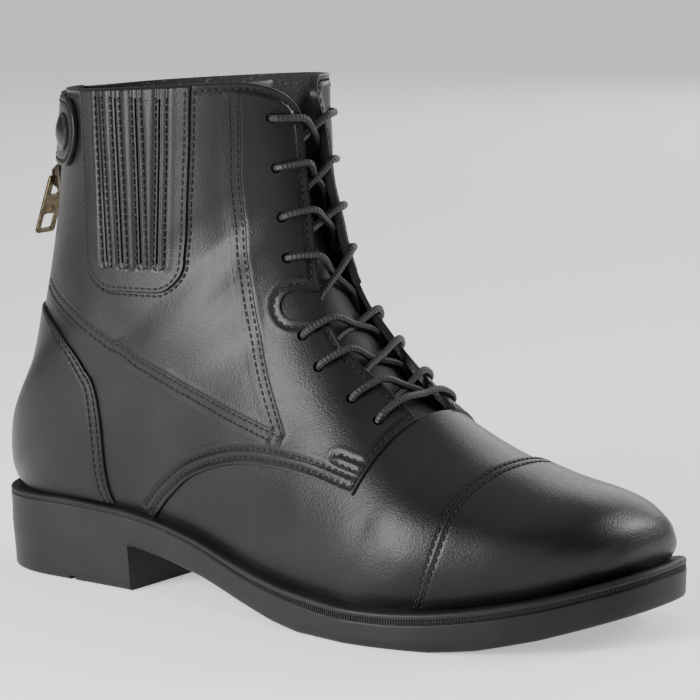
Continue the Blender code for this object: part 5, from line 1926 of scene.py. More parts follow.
@dataclass
class Forepart:
    """Vamp and toe cap."""

    quarters: dict[Side, Quarter]
    leather: LeatherFinish = LeatherFinish()
    lining: ClothFinish = ClothFinish()
    cap_run: float = 62.0
    swing: float = 4.6
    rows: tuple[float, float] = (1.7, 4.3)
    wall: float = 1.8
    tuck: float = 4.0
    cap_thick: float = 1.25
    full_top: float = 1.9
    full_run: float = 31.0
    tip_short: float = 1.6

    def build(self) -> None:
        """Makes the vamp up to the quarters, and the cap over its toe."""
        self.vamp = self._vamp()
        self.cap = self._cap()

    def dress(self) -> list[Object]:
        """Gives the pieces their leather and lining.

        Returns:
            The finished pieces.
        """
        faces = self.leather.material("vamp_leather"), self.lining.material("vamp_lining")
        return [
            fit(self.vamp, "upper_leather", "upper", *faces),
            fit(self.cap, "cap_leather", "toe_cap", self.leather.material("cap_leather_polished")),
        ]

    def _toe_runs(self) -> Array:
        """Rows from the toe tip to the cap's back edge, close together at the tip."""
        return self.cap_run * np.linspace(0.0, 1.0, 60) ** 1.7

    def _vamp(self) -> Object:
        """The vamp, tucked under the quarters.

        Returns:
            The object.
        """
        sheet = Sheet("vamp")
        for side, quarter in self.quarters.items():
            columns = np.linspace(0.0, 1.0, 90)
            end_run, end_share = quarter.edge_places(columns)
            inward = np.linspace(0.0, 1.0, 20)[:-1]
            end_run = np.concatenate((np.full(len(inward), end_run[0]), end_run))
            end_share = np.concatenate((inward * end_share[0], end_share))
            level = np.linspace(0.0, 1.0, len(end_run))
            part = np.linspace(0.0, 1.0, 90)[1:, None]
            tuck = self.tuck * (end_share > end_share[len(inward)] + 1e-6)
            run = self.cap_run + part * (end_run + tuck - self.cap_run)
            share = level + part * (end_share - level)
            toe = self._toe_runs()[::3, None] * np.ones(len(level))
            run = np.concatenate((toe, run))
            share = np.concatenate((np.broadcast_to(level, toe.shape), share))
            height = -relief(LAST.point(run, side.value * share), side)
            under_cap = np.clip((self.cap_run + 8.0 - run) / 12.0, 0.0, 1.0)
            height = height - 0.05 * (run > end_run) + under_cap * (self._fullness(run, share) - 0.2)
            outer = LAST.raised(run, side.value * share, height)
            inner = LAST.raised(run, side.value * share, height - self.wall)
            sheet.shell(inner, outer, 1, sheet.FAR_EDGES)
        return sheet.object(2)

    def _cap_line(self, share: Array) -> Array:
        """Run of the cap's back edge, which swings back over the ridge."""
        return self.cap_run + self.swing * eased((0.78 - np.abs(share)) / 0.42)

    def _fullness(self, run: Array, share: Array) -> Array:
        """How far the toe stands out over the form: fuller on top, and drawn in at the tip."""
        top = self.full_top * np.clip(1 - share * share, 0.0, 1.0)
        return top * bell(run - self.full_run, 14.0) - self.tip_short * bell(run, 13.0)

    def stitch_rows(self) -> list[StitchRow]:
        """Two rows along the cap's back edge.

        Returns:
            The rows.
        """
        share = np.linspace(-0.985, 0.985, 220)
        rows = []
        for inset in self.rows:
            run = self._cap_line(share) - inset
            rows.append(StitchRow.on_form(run, share, self._cap_height(run, share) + Quarter.STITCH_LIFT))
        return rows

    def _cap_height(self, run: Array, share: Array) -> Array:
        """Height of the cap's leather, with its stitch grooves and rounded edge.

        Args:
            run, share: places on the form.

        Returns:
            A height for each.
        """
        inset = self._cap_line(share) - run
        grooves = sum(bell(inset - row, 0.8) for row in self.rows)
        return self.cap_thick - 0.35 * grooves - rounded(inset, 0.8) + self._fullness(run, share)

    def _cap(self) -> Object:
        """The cap, with a rounded back edge.

        Returns:
            The object.
        """
        sheet = Sheet("toe_cap_shell")
        runs = np.concatenate((self._toe_runs()[:-5], self.cap_run - np.linspace(0.0, 5.8, 20)))
        runs = np.unique(np.concatenate((runs, self.cap_run - np.array((0.15, 0.45)))))
        for side in Side:
            run, share = np.meshgrid(runs, np.linspace(0.0, 1.0, 90), indexing="ij")
            run = run * self._cap_line(share) / self.cap_run
            height = self._cap_height(run, share)
            outer = LAST.raised(run, side.value * share, height)
            inner = LAST.raised(run, side.value * share, self._fullness(run, share) - 0.15)
            sheet.shell(inner, outer, edges=sheet.FAR_EDGES)
        return sheet.object()


@dataclass
class Tongue:
    """The tongue under the laces."""

    leather: LeatherFinish = LeatherFinish(
        colour=(0.02, 0.02, 0.0205), worn=(0.03, 0.03, 0.0305), roughness=0.5)
    thick: float = 2.0
    bottom: float = 70.5
    top: float = 194.0

    ROWS = (
        TongueRow(70.5, 17.0, 2.3), TongueRow(75.0, 19.0, 3.0), TongueRow(82.0, 24.0, 6.6),
        TongueRow(94.0, 29.0, 6.2), TongueRow(106.0, 34.0, 6.0), TongueRow(120.0, 35.0, 6.4),
        TongueRow(140.0, 33.0, 11.0), TongueRow(166.0, 31.0, 19.5), TongueRow(186.0, 29.0, 26.0),
        TongueRow(194.0, 21.0, 28.0),
    )

    def surface(self, level: Array, across: Array, sink: Array) -> Array:
        """Points of the tongue's outer face.

        Args:
            level: heights on the ridge.
            across: places from -1, lateral edge, to 1, medial edge.
            sink: how far below the outer face.

        Returns:
            A row of points for each height.
        """
        table = smooth_curve([row.ridge_z for row in self.ROWS], [row[1:] for row in self.ROWS])(level)
        run = LAST.ridge_run(level)
        normal = LAST.normal(run, np.zeros_like(run))[:, None]
        length = np.where(across < 0, LAST.length(run, -1)[:, None], LAST.length(run, 1)[:, None])
        line = LAST.point(np.broadcast_to(run[:, None], length.shape), across * table[:, :1] / length)
        return line - (table[:, 1:] + sink)[..., None] * normal

    def build(self) -> None:
        """Makes the tongue, with soft edges."""
        near = self.top - np.array((0.6, 0.3, 0.1, 0.0))
        level = np.unique(np.concatenate((np.linspace(self.bottom, self.top - 1.0, 90), near)))
        across = np.linspace(-1.0, 1.0, 61) * np.ones((len(level), 1))
        free = np.minimum((1 - np.abs(across)) * 28.0, (self.top - level)[:, None])
        edge = rounded(free, self.thick / 2)
        sheet = Sheet("tongue_sheet")
        sheet.shell(self.surface(level, across, self.thick - edge), self.surface(level, across, edge))
        self.sheet = sheet.object()

    def dress(self) -> list[Object]:
        """Gives the tongue its soft leather."""
        return [fit(self.sheet, "tongue_leather", "tongue", self.leather.material("tongue_leather_soft"))]


@dataclass
class HeelPieces:
    """Counter around the heel and the narrow strip over its seam."""

    leather: LeatherFinish = LeatherFinish()
    rows: tuple[float, float] = (1.8, 4.6)
    strip_row: float = 1.6
    counter_faces: tuple[float, float] = (0.9, 2.2)
    strip_faces: tuple[float, float] = (2.0, 3.8)

    COUNTER = (
        ArcRow(33.2, 85.0), ArcRow(45.0, 86.2), ArcRow(56.5, 85.6), ArcRow(67.5, 81.5), ArcRow(75.5, 76.5),
        ArcRow(85.0, 67.5), ArcRow(92.5, 58.6), ArcRow(98.0, 49.5), ArcRow(101.5, 40.0), ArcRow(104.5, 28.0),
    )
    STRIP = (ArcRow(33.2, 14.0), ArcRow(45.0, 13.0), ArcRow(58.0, 12.0), ArcRow(70.0, 7.5))

    def build(self) -> None:
        """Makes both pieces."""
        self.counter = self._shell("counter_shell", self.COUNTER, self.counter_faces, (100, 160))
        self.strip = self._shell("heel_seam_strip", self.STRIP, self.strip_faces, (50, 40), 1.2)

    def dress(self) -> list[Object]:
        """Gives both pieces their leather.

        Returns:
            The finished pieces.
        """
        leather = self.leather.material
        return [
            fit(self.counter, "counter_leather", "heel_counter", leather("counter_shell_leather")),
            fit(self.strip, "strip_leather", "heel_strip", leather("heel_seam_strip_leather")),
        ]

    def stitch_rows(self) -> list[StitchRow]:
        """Two rows inside the counter's edge and one inside each edge of the strip.

        Returns:
            The rows.
        """
        rows = []
        for table, faces, insets in (
                (self.COUNTER, self.counter_faces, self.rows),
                (self.STRIP, self.strip_faces, (self.strip_row,))):
            curve = smooth_curve(*zip(*table))
            for inset in insets:
                z = np.linspace(table[0].z + 0.8, table[-1].z - inset, 120)
                for sign in (-1, 1):
                    arc = sign * (curve(z)[:, 0] - inset * 1.1)
                    rows.append(StitchRow.on_back(z, arc, faces[1] - 0.1))
        return rows

    def _shell(
            self, name: str, table: Sequence[ArcRow], faces: tuple[float, float], count: tuple[int, int],
            flare: float = 0.0) -> Object:
        """A sheet around the back, with rounded edges.

        Args:
            name: the piece's name.
            table: half its arc at some heights.
            faces: how far its inner and outer face lie over the form.
            count: rows and columns of its grid.
            flare: how far its foot stands out.

        Returns:
            The object.
        """
        ends = table[0].z, table[-1].z
        z = np.linspace(*ends, count[0])
        z = np.unique(np.concatenate((z, ends[1] - np.array((0.15, 0.35, 0.6, 0.9)))))
        reach = smooth_curve(*zip(*table))(z)
        place = np.sin(np.linspace(-math.pi / 2, math.pi / 2, count[1])) * reach
        level = np.broadcast_to(z[:, None], place.shape)
        inset = reach - np.abs(place)
        free = np.minimum(inset, ends[1] - level)
        drawn = sum(bell(inset - 1.1 * row, 0.8) for row in self.rows)
        foot = flare * bell(level - ends[0], 9.0)
        outer = LAST.over_back(level, place, faces[1] + foot - rounded(free, 0.8) - 0.22 * drawn)
        sheet = Sheet(name)
        sheet.shell(LAST.over_back(level, place, faces[0]), outer)
        return sheet.object()


@dataclass
class Gore:
    """The slit leather panel over the shaft's elastic, on one side."""

    side: Side
    leather: LeatherFinish = LeatherFinish()
    back: float = 67.5
    front_low: float = 112.0
    lean: float = 0.14
    bottom: float = 115.6
    corner: float = 13.0
    faces: tuple[float, float] = (0.9, 2.2)
    slit_wide: float = 0.7
    slit_deep: float = 35.0
    slit_top: float = 188.0
    slit_bottom: float = 126.5
    row_apart: float = 2.1
    row_top: float = 187.2
    row_height: float = 2.15
    back_top: float = 188.2
    front_top: float = 189.5

    SLITS = (SlitRow(80.6, 79.0), SlitRow(89.4, 86.5), SlitRow(99.2, 94.8), SlitRow(109.7, 101.5))

    def collar(self, x: Any) -> Array:
        """Height of the collar's edge.

        Args:
            x: one place or many.

        Returns:
            A height for each.
        """
        share = self.side.value * np.linspace(0.3, 0.9, 60)
        edge = LAST.point(np.full(60, LAST.end), share)
        order = np.argsort(edge[:, 0])
        return np.interp(x, edge[order, 0], edge[order, 2]) - 0.35

    def outline(self, out: float) -> list[tuple[float, float]]:
        """The U of the panel's free edge, moved out by a distance, as seen from the side.

        Args:
            out: that distance.

        Returns:
            x and z of its points.
        """
        turn = np.linspace(0.0, math.pi / 2, 9)
        corner = self.corner + out
        low, left = self.bottom + self.corner, self.back + self.corner
        right = float(self.front(low)) - self.corner
        line = [(self.back - out, z) for z in np.linspace(self.back_top, low + 2.0, 22)]
        line += [(left - corner * math.cos(a), low - corner * math.sin(a)) for a in turn]
        line += [(x, self.bottom - out) for x in np.linspace(left + 2.0, right - 2.0, 6)]
        line += [(right + corner * math.sin(a), low - corner * math.cos(a)) for a in turn]
        line += [(float(self.front(z)) + out, z) for z in np.linspace(low + 2.0, self.front_top, 22)]
        return line

    def stitch_rows(self) -> list[StitchRow]:
        """Rows around the panel, on both sides of each slit and between the slits' tops.

        Returns:
            The rows.
        """
        lines = [(self.outline(-1.7), self.row_height), (self.outline(1.2), 1.1)]
        apart, low = self.row_apart, self.slit_bottom
        levels = np.linspace(self.row_top, low + 0.5, 20)
        turn = np.linspace(math.pi, 0.0, 7)[1:-1]
        for slit in self.SLITS:
            middle = self._middle(slit, levels)
            line = list(zip(middle - apart, levels))
            line += [(slit.bottom_x + apart * math.cos(a), low - apart * math.sin(a)) for a in turn]
            line += list(zip(middle + apart, levels))[::-1]
            lines.append((line, self.row_height))
        for first, second in zip(self.SLITS, self.SLITS[1:]):
            across = np.linspace(first.top_x + apart, second.top_x - apart, 5)
            lines.append(([(x, self.row_top) for x in across], self.row_height))
        rows = []
        for line, height in lines:
            trace = Trace.seen(self.side, line, 0.6)
            rows.append(StitchRow.on_form(trace.run, trace.share, height))
        return rows

    def _middle(self, slit: SlitRow, z: Array) -> Array:
        """x of a slit's middle at some heights."""
        lean = (slit.top_x - slit.bottom_x) / (self.slit_top - self.slit_bottom)
        return slit.bottom_x + lean * (z - self.slit_bottom)

    def _groove(self, x: Array, z: Array) -> Array:
        """How far stitch rows and slits draw the leather in.

        Args:
            x, z: places as seen from the side.

        Returns:
            A depth for each.
        """
        drop = np.zeros(x.shape)
        for slit in self.SLITS:
            aside = x - self._middle(slit, z)
            rows = bell(np.abs(aside) - self.row_apart, 0.7) + 0.8 * bell(aside, 0.9)
            rows -= 0.4 * bell(np.abs(aside) - 4.3, 1.3)
            drop += 0.5 * rows * np.clip((z - self.slit_bottom + 2.5) / 1.5, 0.0, 1.0)
        return drop

    def front(self, z: Any) -> Array:
        """x of the front edge."""
        return self.front_low + self.lean * np.maximum(0.0, np.asarray(z, float) - self.bottom - self.corner)

    def build(self) -> None:
        """Makes the panel with its slits."""
        self.panel = cut(self._panel(), self._slits())

    def dress(self) -> list[Object]:
        """Gives the panel its leather."""
        finish = self.leather.material("gore_leather_" + self.side.word)
        return [fit(self.panel, "gore_leather", "gore_panel_" + self.side.word, finish)]

    def _panel(self) -> Object:
        """The panel before it is slit.

        Returns:
            The object.
        """
        place = np.unique(np.concatenate((np.linspace(0.0, 1.0, 130), [0.004, 0.009, 0.991, 0.996])))
        edge = np.minimum(place, 1 - place) * (self.front_low - self.back)
        low = self.bottom + rounded(edge, self.corner)
        near = [0.002, 0.005, 0.009, 0.991, 0.995, 0.998]
        up = np.unique(np.concatenate((np.linspace(0.0, 1.0, 100), near)))
        x = self.back + place * (self.front_low - self.back) * np.ones((len(up), 1))
        for _ in range(4):
            z = low + up[:, None] * (self.collar(x) - low)
            x = self.back + place * (self.front(z) - self.back)
        run, share = LAST.locate(x, z, self.side.value)
        share = self.side.value * share
        points = LAST.point(run, share)
        along, across = running_length(points, 0), running_length(points, 1)
        free = np.minimum(np.minimum(along, along[-1] - along), np.minimum(across, across[:, -1:] - across))
        sheet = Sheet("gore_slit_panel_" + self.side.word)
        height = self.faces[1] - rounded(free, 0.7) - self._groove(x, z)
        sheet.shell(LAST.raised(run, share, self.faces[0]), LAST.raised(run, share, height))
        return sheet.object()

    def _slits(self) -> Object:
        """Cutters for the slits.

        Returns:
            The shape that cuts them.
        """
        shape = bmesh.new()
        tall = self.slit_top - self.slit_bottom
        for slit in self.SLITS:
            across, level = (slit.top_x + slit.bottom_x) / 2, (self.slit_top + self.slit_bottom) / 2
            middle = across, self.side.value * self.slit_deep, level
            lean = math.atan2(slit.top_x - slit.bottom_x, tall)
            size = Matrix.Diagonal((self.slit_wide * MM, self.slit_deep * MM, tall * MM, 1.0))
            placed = Matrix.Translation(Vector(to_frame(middle))) @ Matrix.Rotation(lean, 4, "Y") @ size
            bmesh.ops.create_cube(shape, size=1.0, matrix=placed)
        return cutter("slits", shape)


@dataclass
class Stitching:
    """Every row of stitches on the leather, in one thread."""

    parts: Sequence[Any]
    thread: ThreadFinish = ThreadFinish()
    pitch: float = 2.7
    size: tuple[float, float, float] = (2.3, 1.0, 0.7)

    def build(self) -> None:
        """Makes the stitches along the rows of all parts."""
        rows = [row for part in self.parts for row in part.stitch_rows()]
        repeater = Repeater("panel_stitches", Shape.STITCH, self.pitch, self.size)
        self.stitches = repeater.build(rows, self.thread.material("panel_thread"))

    def dress(self) -> list[Object]:
        """Puts the stitches, which have their thread, on the upper."""
        return [fit(self.stitches, "upper_leather", "upper")]


# Lacing

@dataclass
class Lacing:
    """One round cord through all the holes, with a bar at the lowest pair and its ends at the top holes."""

    quarters: dict[Side, Quarter]
    cord: CordFinish = CordFinish()
    radius: float = 1.35
    clear: float = 0.1
    lift: float = 0.7
    sides: int = 14
    step: float = 0.5
    soften: float = 0.9
    near_part: float = 0.22
    far_part: float = 0.75

    def __post_init__(self) -> None:
        """Works out how far the cord's middle runs over and under the leather."""
        self.over = Quarter.step + self.clear + self.radius
        self.under = -(Quarter.wall + self.clear + self.radius)

    def route(self, side: Side, lift: float) -> list[Array]:
        """Points of one half of the lace, from the top hole of a side down to the lowest hole.

        Args:
            side: the side of the top hole.
            lift: how far it rises where it crosses the other half.

        Returns:
            The points.
        """
        over, under = self.over, self.under
        count = len(Quarter.HOLES)
        points = []
        for number in range(count):
            run, share = self.quarters[side].hole_place(number)
            points += [LAST.raised(run, share, under), LAST.raised(run, share, -0.4)]
            other = Side(-side.value)
            next_run = run if number + 1 == count else self.quarters[other].hole_place(number + 1)[0]
            near_run, far_run = (run + part * (next_run - run) for part in (self.near_part, self.far_part))
            edge = side.value * LAST.facing(near_run)
            for part, rise in ((0.06, over - 1.0), (0.3, over - 0.2), (0.65, over - 0.1)):
                points.append(LAST.raised(run + part * (near_run - run), share + part * (edge - share), rise))
            if number + 1 == count:
                break
            near = LAST.raised(near_run, edge, over - 0.1)
            far = LAST.raised(far_run, other.value * LAST.facing(far_run), under)
            upward = LAST.normal((run + next_run) / 2, 0.0)
            points += [near, (near + far) / 2 + lift * upward, far]
            side = other
        return points

    def build(self) -> None:
        """Makes the cord as two crossing halves that meet on the bar."""
        run, _ = self.quarters[Side.MEDIAL].hole_place(len(Quarter.HOLES) - 1)
        opening = float(LAST.facing(run))
        bar = [LAST.raised(run, place, self.over) for place in (opening, -opening)]
        bar.insert(1, (bar[0] + bar[1]) / 2)
        down, back = self.route(Side.LATERAL, self.lift), self.route(Side.MEDIAL, -self.lift)
        line = even_line(down + bar + back[::-1], self.step, self.soften)
        sheet = Sheet("lace_cord_run")
        sheet.tube(pipe_grid(line, self.radius, self.sides))
        self.lace = sheet.object(smooth_deg=180.0)
        self._braid_map(self.lace, line)

    def dress(self) -> list[Object]:
        """Gives the lace its waxed cord."""
        return [fit(self.lace, "lace_cord", "laces", self.cord.material("lace_waxed_cord"))]

    def _braid_map(self, obj: Object, line: Array) -> None:
        """Gives the cord a map: around it across, and along it up, in turns of the cord.

        Args:
            obj: the cord.
            line: points along its middle.
        """
        tree = point_tree(to_frame(line))
        length = running_length(line) / (2 * math.pi * self.radius)
        along = np.zeros(len(obj.data.vertices))
        around = np.zeros(len(obj.data.vertices))
        first = pipe_grid(line, 1.0, 4)
        axes = to_frame(first[:, 0]) - to_frame(line), to_frame(first[:, 1]) - to_frame(line)
        for vert in obj.data.vertices:
            i = tree.find(vert.co)[1]
            apart = np.array(vert.co) - to_frame(line[i])
            around[vert.index] = math.atan2(apart.dot(axes[1][i]), apart.dot(axes[0][i])) / (2 * math.pi)
            along[vert.index] = length[i]
        layer = obj.data.uv_layers.new(name="braid")
        for polygon in obj.data.polygons:
            turns = [around[obj.data.loops[k].vertex_index] for k in polygon.loop_indices]
            wrap = max(turns) - min(turns) > 0.5
            for k, turn in zip(polygon.loop_indices, turns):
                turn = turn + 1 if wrap and turn < 0 else turn
                layer.data[k].uv = (turn, along[obj.data.loops[k].vertex_index])


# Zip and snap tab

@dataclass
class BackZip:
    """The closed zip up the back, its slider with the pull, and the snap tab over its top."""

    tape: ClothFinish = ClothFinish(fleck=(0.02, 0.02, 0.02), thread_mm=0.6, depth_mm=0.1)
    metal: MetalFinish = MetalFinish(colour=(0.10, 0.085, 0.06), film=(0.05, 0.045, 0.038))
    pull: MetalFinish = MetalFinish(colour=(0.12, 0.095, 0.055), film=(0.03, 0.026, 0.02), roughness=0.3)
    snap: MetalFinish = MetalFinish(colour=(0.06, 0.06, 0.062), film=(0.03, 0.03, 0.031))
    leather: LeatherFinish = LeatherFinish()
    tape_ends: tuple[float, float] = (109.0, 184.0)
    tape_half: float = 7.0
    tooth_pitch: float = 2.0
    tooth_size: tuple[float, float, float] = (1.1, 2.4, 1.1)
    slider_z: float = 152.0
    slider_out: float = 4.4
    bail_radius: float = 0.6
    pull_out: float = 4.7
    pull_half: float = 0.42
    pull_bevel: float = 0.26
    pull_turn: float = 22.0
    tab_z: float = 173.0
    tab_half: float = 13.0
    tab_end: float = 30.0
    tab_thick: float = 1.7
    tab_row: float = 1.9
    snap_arc: float = -36.0

    SLIDER = (
        (-2.6, -5.5), (2.6, -5.5), (3.4, -4.0), (3.6, 0.0), (4.0, 3.0), (3.6, 5.0), (2.2, 5.5), (0.8, 5.0),
        (-0.8, 5.0), (-2.2, 5.5), (-3.6, 5.0), (-4.0, 3.0), (-3.6, 0.0), (-3.4, -4.0),
    )
    SLIDER_LEVELS = ((0.0, 0.0), (0.0, 0.9), (0.35, 1.0), (2.5, 1.0), (2.85, 0.93), (3.0, 0.82), (3.0, 0.0))
    PULL_LOOPS = (
        PullLoop(-24.2, 0.8, 5.0, 1.4), PullLoop(-7.6, -0.8, 2.2, 0.8), PullLoop(-22.4, -15.9, 3.1, 0.8),
    )
    SNAP_PROFILE = (
        (7.2, 0.0), (7.3, 0.5), (7.1, 0.95), (6.6, 1.15), (6.1, 1.1), (5.6, 1.35), (4.6, 1.9), (3.0, 2.4),
        (1.5, 2.62), (0.0, 2.7),
    )

    def build(self) -> None:
        """Makes tape, teeth, slider, pull, tab and snap."""
        self.weave, self.teeth = self._tape(), self._teeth()
        self.slider, self.plate = self._slider(), self._pull()
        self.tab, self.cap = self._tab(), self._button()

    def dress(self) -> list[Object]:
        """Gives the pieces their cloth, metal and leather. The pull rides on its own body.

        Returns:
            The finished pieces.
        """
        return [
            fit(self.weave, "tape_cloth", "zip_tape", self.tape.material("zip_tape_weave")),
            fit(self.teeth, "tape_cloth", "zip_tape"),
            fit(self.slider, "slider_metal", "zip_slider", self.metal.material("zip_slider_metal")),
            fit(self.plate, "pull_metal", "zip_pull", self.pull.material("zip_pull_plated"), body=PULL),
            fit(self.tab, "strap_leather", "snap_strap", self.leather.material("snap_tab_leather")),
            fit(self.cap, "snap_metal", "snap_button", self.snap.material("snap_cap_metal")),
        ]

    def _teeth(self) -> Object:
        """The two rows of teeth, set into each other.

        Returns:
            The object.
        """
        rows = []
        for shift, arc in ((0.0, -0.75), (1.0, 0.75)):
            z = np.linspace(self.tape_ends[0] + 1.0, self.tape_ends[1] - 1.0, 160) + shift
            rows.append(StitchRow.on_back(z, np.full(z.shape, arc), 2.9))
        teeth = Repeater("zip_teeth", Shape.BLOCK, self.tooth_pitch, self.tooth_size)
        return teeth.build(rows, self.metal.material("zip_teeth_metal"))

    def _slider(self) -> Object:
        """The slider's body, wider at its top, with the bridge for the pull.

        Returns:
            The object.
        """
        x, pivot = self._seat()
        sheet = Sheet("zip_slider_body")
        outline = np.array(self.SLIDER)
        levels = []
        for deep, scale in self.SLIDER_LEVELS:
            ring = outline * scale + (0.0, self.slider_z)
            levels.append(np.column_stack((np.full(len(outline), x - deep), ring)))
        sheet.grid(np.array(levels), closed=True)
        foot, bend, crown = x - 2.4, pivot[0] - 1.2, pivot[0] - 2.2
        arch = (
            (foot, -3.6), (bend, -3.5), (crown, -2.6), (crown - 0.1, 0.0), (crown, 2.6), (bend, 3.5),
            (foot, 3.6))
        line = even_line([(at, 0.0, self.slider_z + rise) for at, rise in arch], 0.4)
        sheet.tube(pipe_grid(line, self.bail_radius, 12) * (1.0, 1.8, 1.0))
        return sheet.object()

    def _seat(self) -> tuple[float, Array]:
        """x of the slider's inner face, and the pivot of its pull."""
        x = float(LAST.over_back(self.slider_z, 0.0, 0.0)[0]) - self.slider_out
        return x, np.array((x - self.pull_out, 0.0, self.slider_z))

    def _pull(self) -> Object:
        """The flat pull with rounded edges, an eye at its top and a window near its lower end.

        Returns:
            The object.
        """
        name = "zip_pull_plate"
        data = bpy.data.curves.new(name, "CURVE")
        data.dimensions = "2D"
        data.fill_mode = "BOTH"
        data.extrude = self.pull_half * MM
        data.bevel_depth = self.pull_bevel * MM
        data.bevel_resolution = 3
        data.offset = -data.bevel_depth
        turn = np.linspace(0.0, math.pi / 2, 6)
        for low, high, half, corner in self.PULL_LOOPS:
            loop = []
            for quarter, (sx, at_y) in enumerate((
                    (1, high - corner), (-1, high - corner), (-1, low + corner), (1, low + corner))):
                for a in turn + quarter * math.pi / 2:
                    loop.append((sx * (half - corner) + corner * math.cos(a), at_y + corner * math.sin(a)))
            spline = data.splines.new("POLY")
            spline.points.add(len(loop) - 1)
            for knot, (a, b) in zip(spline.points, loop):
                knot.co = (a * MM, b * MM, 0.0, 1.0)
            spline.use_cyclic_u = True
        curve = linked(name, data)
        mesh = plain_mesh(curve)
        bpy.data.objects.remove(curve)
        bpy.data.curves.remove(data)
        upright = Matrix.Rotation(math.radians(-90.0), 4, "Z") @ Matrix.Rotation(math.radians(90.0), 4, "X")
        turned = Matrix.Rotation(math.radians(self.pull_turn), 4, "Y") @ upright
        mesh.transform(Matrix.Translation(Vector(to_frame(self._seat()[1]))) @ turned)
        mesh.materials.clear()
        mesh.materials.append(None)
        mesh.shade_smooth()
        mesh.set_sharp_from_angle(angle=math.radians(40.0))
        mesh.name = name
        return linked(name, mesh)

    def _tape(self) -> Object:
        """The woven tape.

        Returns:
            The object.
        """
        across = np.linspace(-self.tape_half, self.tape_half, 29)
        z, arc = np.meshgrid(np.linspace(*self.tape_ends, 120), across, indexing="ij")
        rise = 0.8 + 1.2 / (1 + (np.abs(arc) / 2.1) ** 10)
        sheet = Sheet("zip_tape_woven")
        sheet.shell(LAST.over_back(z, arc, 1.1), LAST.over_back(z, arc, 1.3 + rise))
        return sheet.object()

    def _tab_floor(self, arc: Array) -> Array:
        """How far the tab stands over the form."""
        return 1.5 + 2.4 / (1 + (arc / 9.0) ** 6)

    def _tab_inset(self, z: Array, arc: Array) -> Array:
        """Distance in from the tab's edge.

        Args:
            z, arc: places around the back.

        Returns:
            A distance for each.
        """
        rise, past = z - self.tab_z, arc - self.snap_arc
        straight = np.minimum(self.tab_half - np.abs(rise), self.tab_end - arc)
        return np.maximum(np.where(past < 0, self.tab_half - np.hypot(rise, past), straight), 0.0)

    def stitch_rows(self) -> list[StitchRow]:
        """The row around the tab, inside its edge.

        Returns:
            The row.
        """
        turn = np.linspace(math.pi / 2, 3 * math.pi / 2, 50)
        flat = np.linspace(self.tab_end - 2.0, self.snap_arc, 90)
        half = self.tab_half - self.tab_row
        arc = np.concatenate((flat, self.snap_arc + half * np.cos(turn), flat[::-1]))
        z = self.tab_z + np.concatenate((np.full(90, half), half * np.sin(turn), np.full(90, -half)))
        return [StitchRow.on_back(z, arc, self._tab_floor(arc) + self.tab_thick - 0.08)]

    def _tab(self) -> Object:
        """The tab, round at its lateral end.

        Returns:
            The object.
        """
        end = self.snap_arc - self.tab_half
        curved = end + (self.tab_half - 1.0) * np.linspace(0.0, 1.0, 60) ** 2
        arc = np.concatenate((curved, np.linspace(self.snap_arc - 1.0, self.tab_end, 110)[1:]))
        reach = np.maximum(0.0, self.snap_arc - arc)
        tall = np.sqrt(np.maximum(self.tab_half ** 2 - reach ** 2, 0.3))
        place = np.sin(np.linspace(-math.pi / 2, math.pi / 2, 41))
        z = self.tab_z + place * tall[:, None]
        arcs = np.broadcast_to(arc[:, None], z.shape)
        free = self._tab_inset(z, arcs)
        floor = self._tab_floor(arcs)
        sheet = Sheet("snap_tab")
        drawn = 0.25 * bell(free - self.tab_row, 0.7)
        top = floor + self.tab_thick - rounded(free, 0.7) - drawn
        sheet.shell(LAST.over_back(z, arcs, floor), LAST.over_back(z, arcs, top))
        return sheet.object()

    def _button(self) -> Object:
        """The domed cap of the snap.

        Returns:
            The object.
        """
        foot = float(self._tab_floor(np.array(self.snap_arc))) + 1.5
        seat = LAST.over_back(self.tab_z, self.snap_arc, foot)
        outward = unit(LAST.over_back(self.tab_z, self.snap_arc, foot + 1.0) - seat)
        radius, rise = (column[:, None] for column in np.array(self.SNAP_PROFILE).T)
        angle = np.linspace(0.0, 2 * math.pi, 64, endpoint=False)
        grid = np.stack(np.broadcast_arrays(radius * np.cos(angle), radius * np.sin(angle), rise), -1)
        grid = grid @ np.array(frame_matrix(seat, outward).to_3x3()).T + seat
        sheet = Sheet("snap_cap")
        sheet.grid(grid, closed=True)
        sheet.grid(np.stack([grid[0], np.broadcast_to(seat, grid[0].shape)]), closed=True)
        return sheet.object()


# Scene

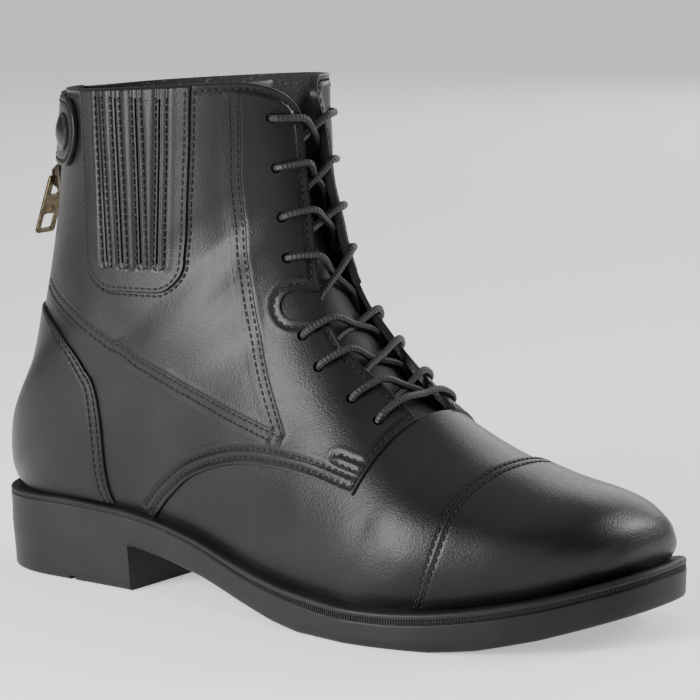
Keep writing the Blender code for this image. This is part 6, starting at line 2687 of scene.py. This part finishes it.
@dataclass(frozen=True)
class Studio:
    """Camera, soft lights and a pale floor."""

    azimuth: float = 38.8
    elevation: float = 9.2
    distance: float = 1018.0
    focal_px: float = 2785.0
    target: tuple[float, float, float] = (162.3, 0.0, 94.5)
    roll: float = -1.46
    picture_px: float = 700.0
    sensor_mm: float = 36.0
    lit: tuple[float, float, float] = (140.0, 0.0, 90.0)
    floor_reach: float = 16000.0
    floor_glow: float = 0.56
    room_light: float = 0.25

    LIGHTS = (
        SoftLight("side_softbox", (-90.0, -760.0, 280.0), (360.0, 580.0), 14.0),
        SoftLight("front_softbox", (800.0, -1100.0, 420.0), (1100.0, 800.0), 3.6),
        SoftLight("toe_softbox", (700.0, 680.0, 430.0), (320.0, 320.0), 5.4),
        SoftLight("top_softbox", (140.0, 60.0, 1600.0), (1600.0, 1600.0), 7.0),
        SoftLight("back_softbox", (-300.0, 2300.0, 1150.0), (1500.0, 1500.0), 22.0),
    )

    def build(self) -> None:
        """Sets up everything but the boot."""
        self._camera()
        for light in self.LIGHTS:
            self._light(light)
        self._floor()

    def _camera(self) -> None:
        """The photo's camera."""
        a, e, roll = (math.radians(value) for value in (self.azimuth, self.elevation, self.roll))
        back = np.array((math.sin(a) * math.cos(e), -math.cos(a) * math.cos(e), math.sin(e)))
        right = np.array((math.cos(a), math.sin(a), 0.0))
        up = np.cross(back, right)
        turned_right = math.cos(roll) * right + math.sin(roll) * up
        turned_up = -math.sin(roll) * right + math.cos(roll) * up
        data = bpy.data.cameras.new("photo_camera")
        data.sensor_width = self.sensor_mm
        data.lens = self.focal_px * self.sensor_mm / self.picture_px
        camera = linked("photo_camera", data)
        turned = Matrix((turned_right, turned_up, back)).transposed().to_4x4()
        turned.translation = Vector(to_frame(np.array(self.target) + self.distance * back))
        camera.matrix_world = turned
        bpy.context.scene.camera = camera

    def _light(self, light: SoftLight) -> None:
        """A soft light that faces the boot.

        Args:
            light: its name, place, width and height, and power.
        """
        data = bpy.data.lights.new(light.name, "AREA")
        data.shape = "RECTANGLE"
        data.size, data.size_y = (side * MM for side in light.size)
        data.energy = light.power
        lamp = linked(light.name, data)
        lamp.visible_camera = False
        at = Vector(to_frame(light.place))
        placed = (Vector(to_frame(self.lit)) - at).to_track_quat("-Z", "Y").to_matrix().to_4x4()
        placed.translation = at
        lamp.matrix_world = placed

    def _floor(self) -> None:
        """The pale floor and the room's even light."""
        graph = Graph("pale_floor")
        paper = graph.noise(graph.place(), 60.0, 2.0)
        white = graph.mix(paper, (0.93, 0.93, 0.93), (0.96, 0.96, 0.96))
        made = graph.surface(
            base_color=white, roughness=0.8, emission_color=white, emission_strength=self.floor_glow)
        sheet = Sheet("studio_floor")
        ends = np.linspace(-self.floor_reach, self.floor_reach, 5)
        x, y = np.meshgrid(ends, ends, indexing="ij")
        sheet.grid(np.stack([x, y, np.full(x.shape, -0.05)], -1))
        floor = sheet.object()
        floor.data.materials[0] = made
        world = bpy.data.worlds.new("studio_room")
        world.use_nodes = True
        background = world.node_tree.nodes["Background"]
        background.inputs["Color"].default_value = (1.0, 1.0, 1.0, 1.0)
        background.inputs["Strength"].default_value = self.room_light
        bpy.context.scene.world = world


def main() -> None:
    """Builds and dresses the boot part by part, reports its pieces, and sets up the studio."""
    logging.basicConfig(level=logging.INFO, format="%(name)s %(message)s")
    quarters = {side: Quarter(side) for side in Side}
    gores = [Gore(side) for side in Side]
    forepart, heel, zip_back = Forepart(quarters), HeelPieces(), BackZip()
    stitching = Stitching((forepart, heel, zip_back, *quarters.values(), *gores))
    front = Sole(), forepart, *quarters.values(), Tongue()
    for part in (*front, heel, *gores, stitching, Lacing(quarters), zip_back):
        part.build()
        for piece in part.dress():
            LOG.info("%s: %d faces", piece.name, len(piece.data.polygons))
    Studio().build()


if __name__ == "__main__":
    main()
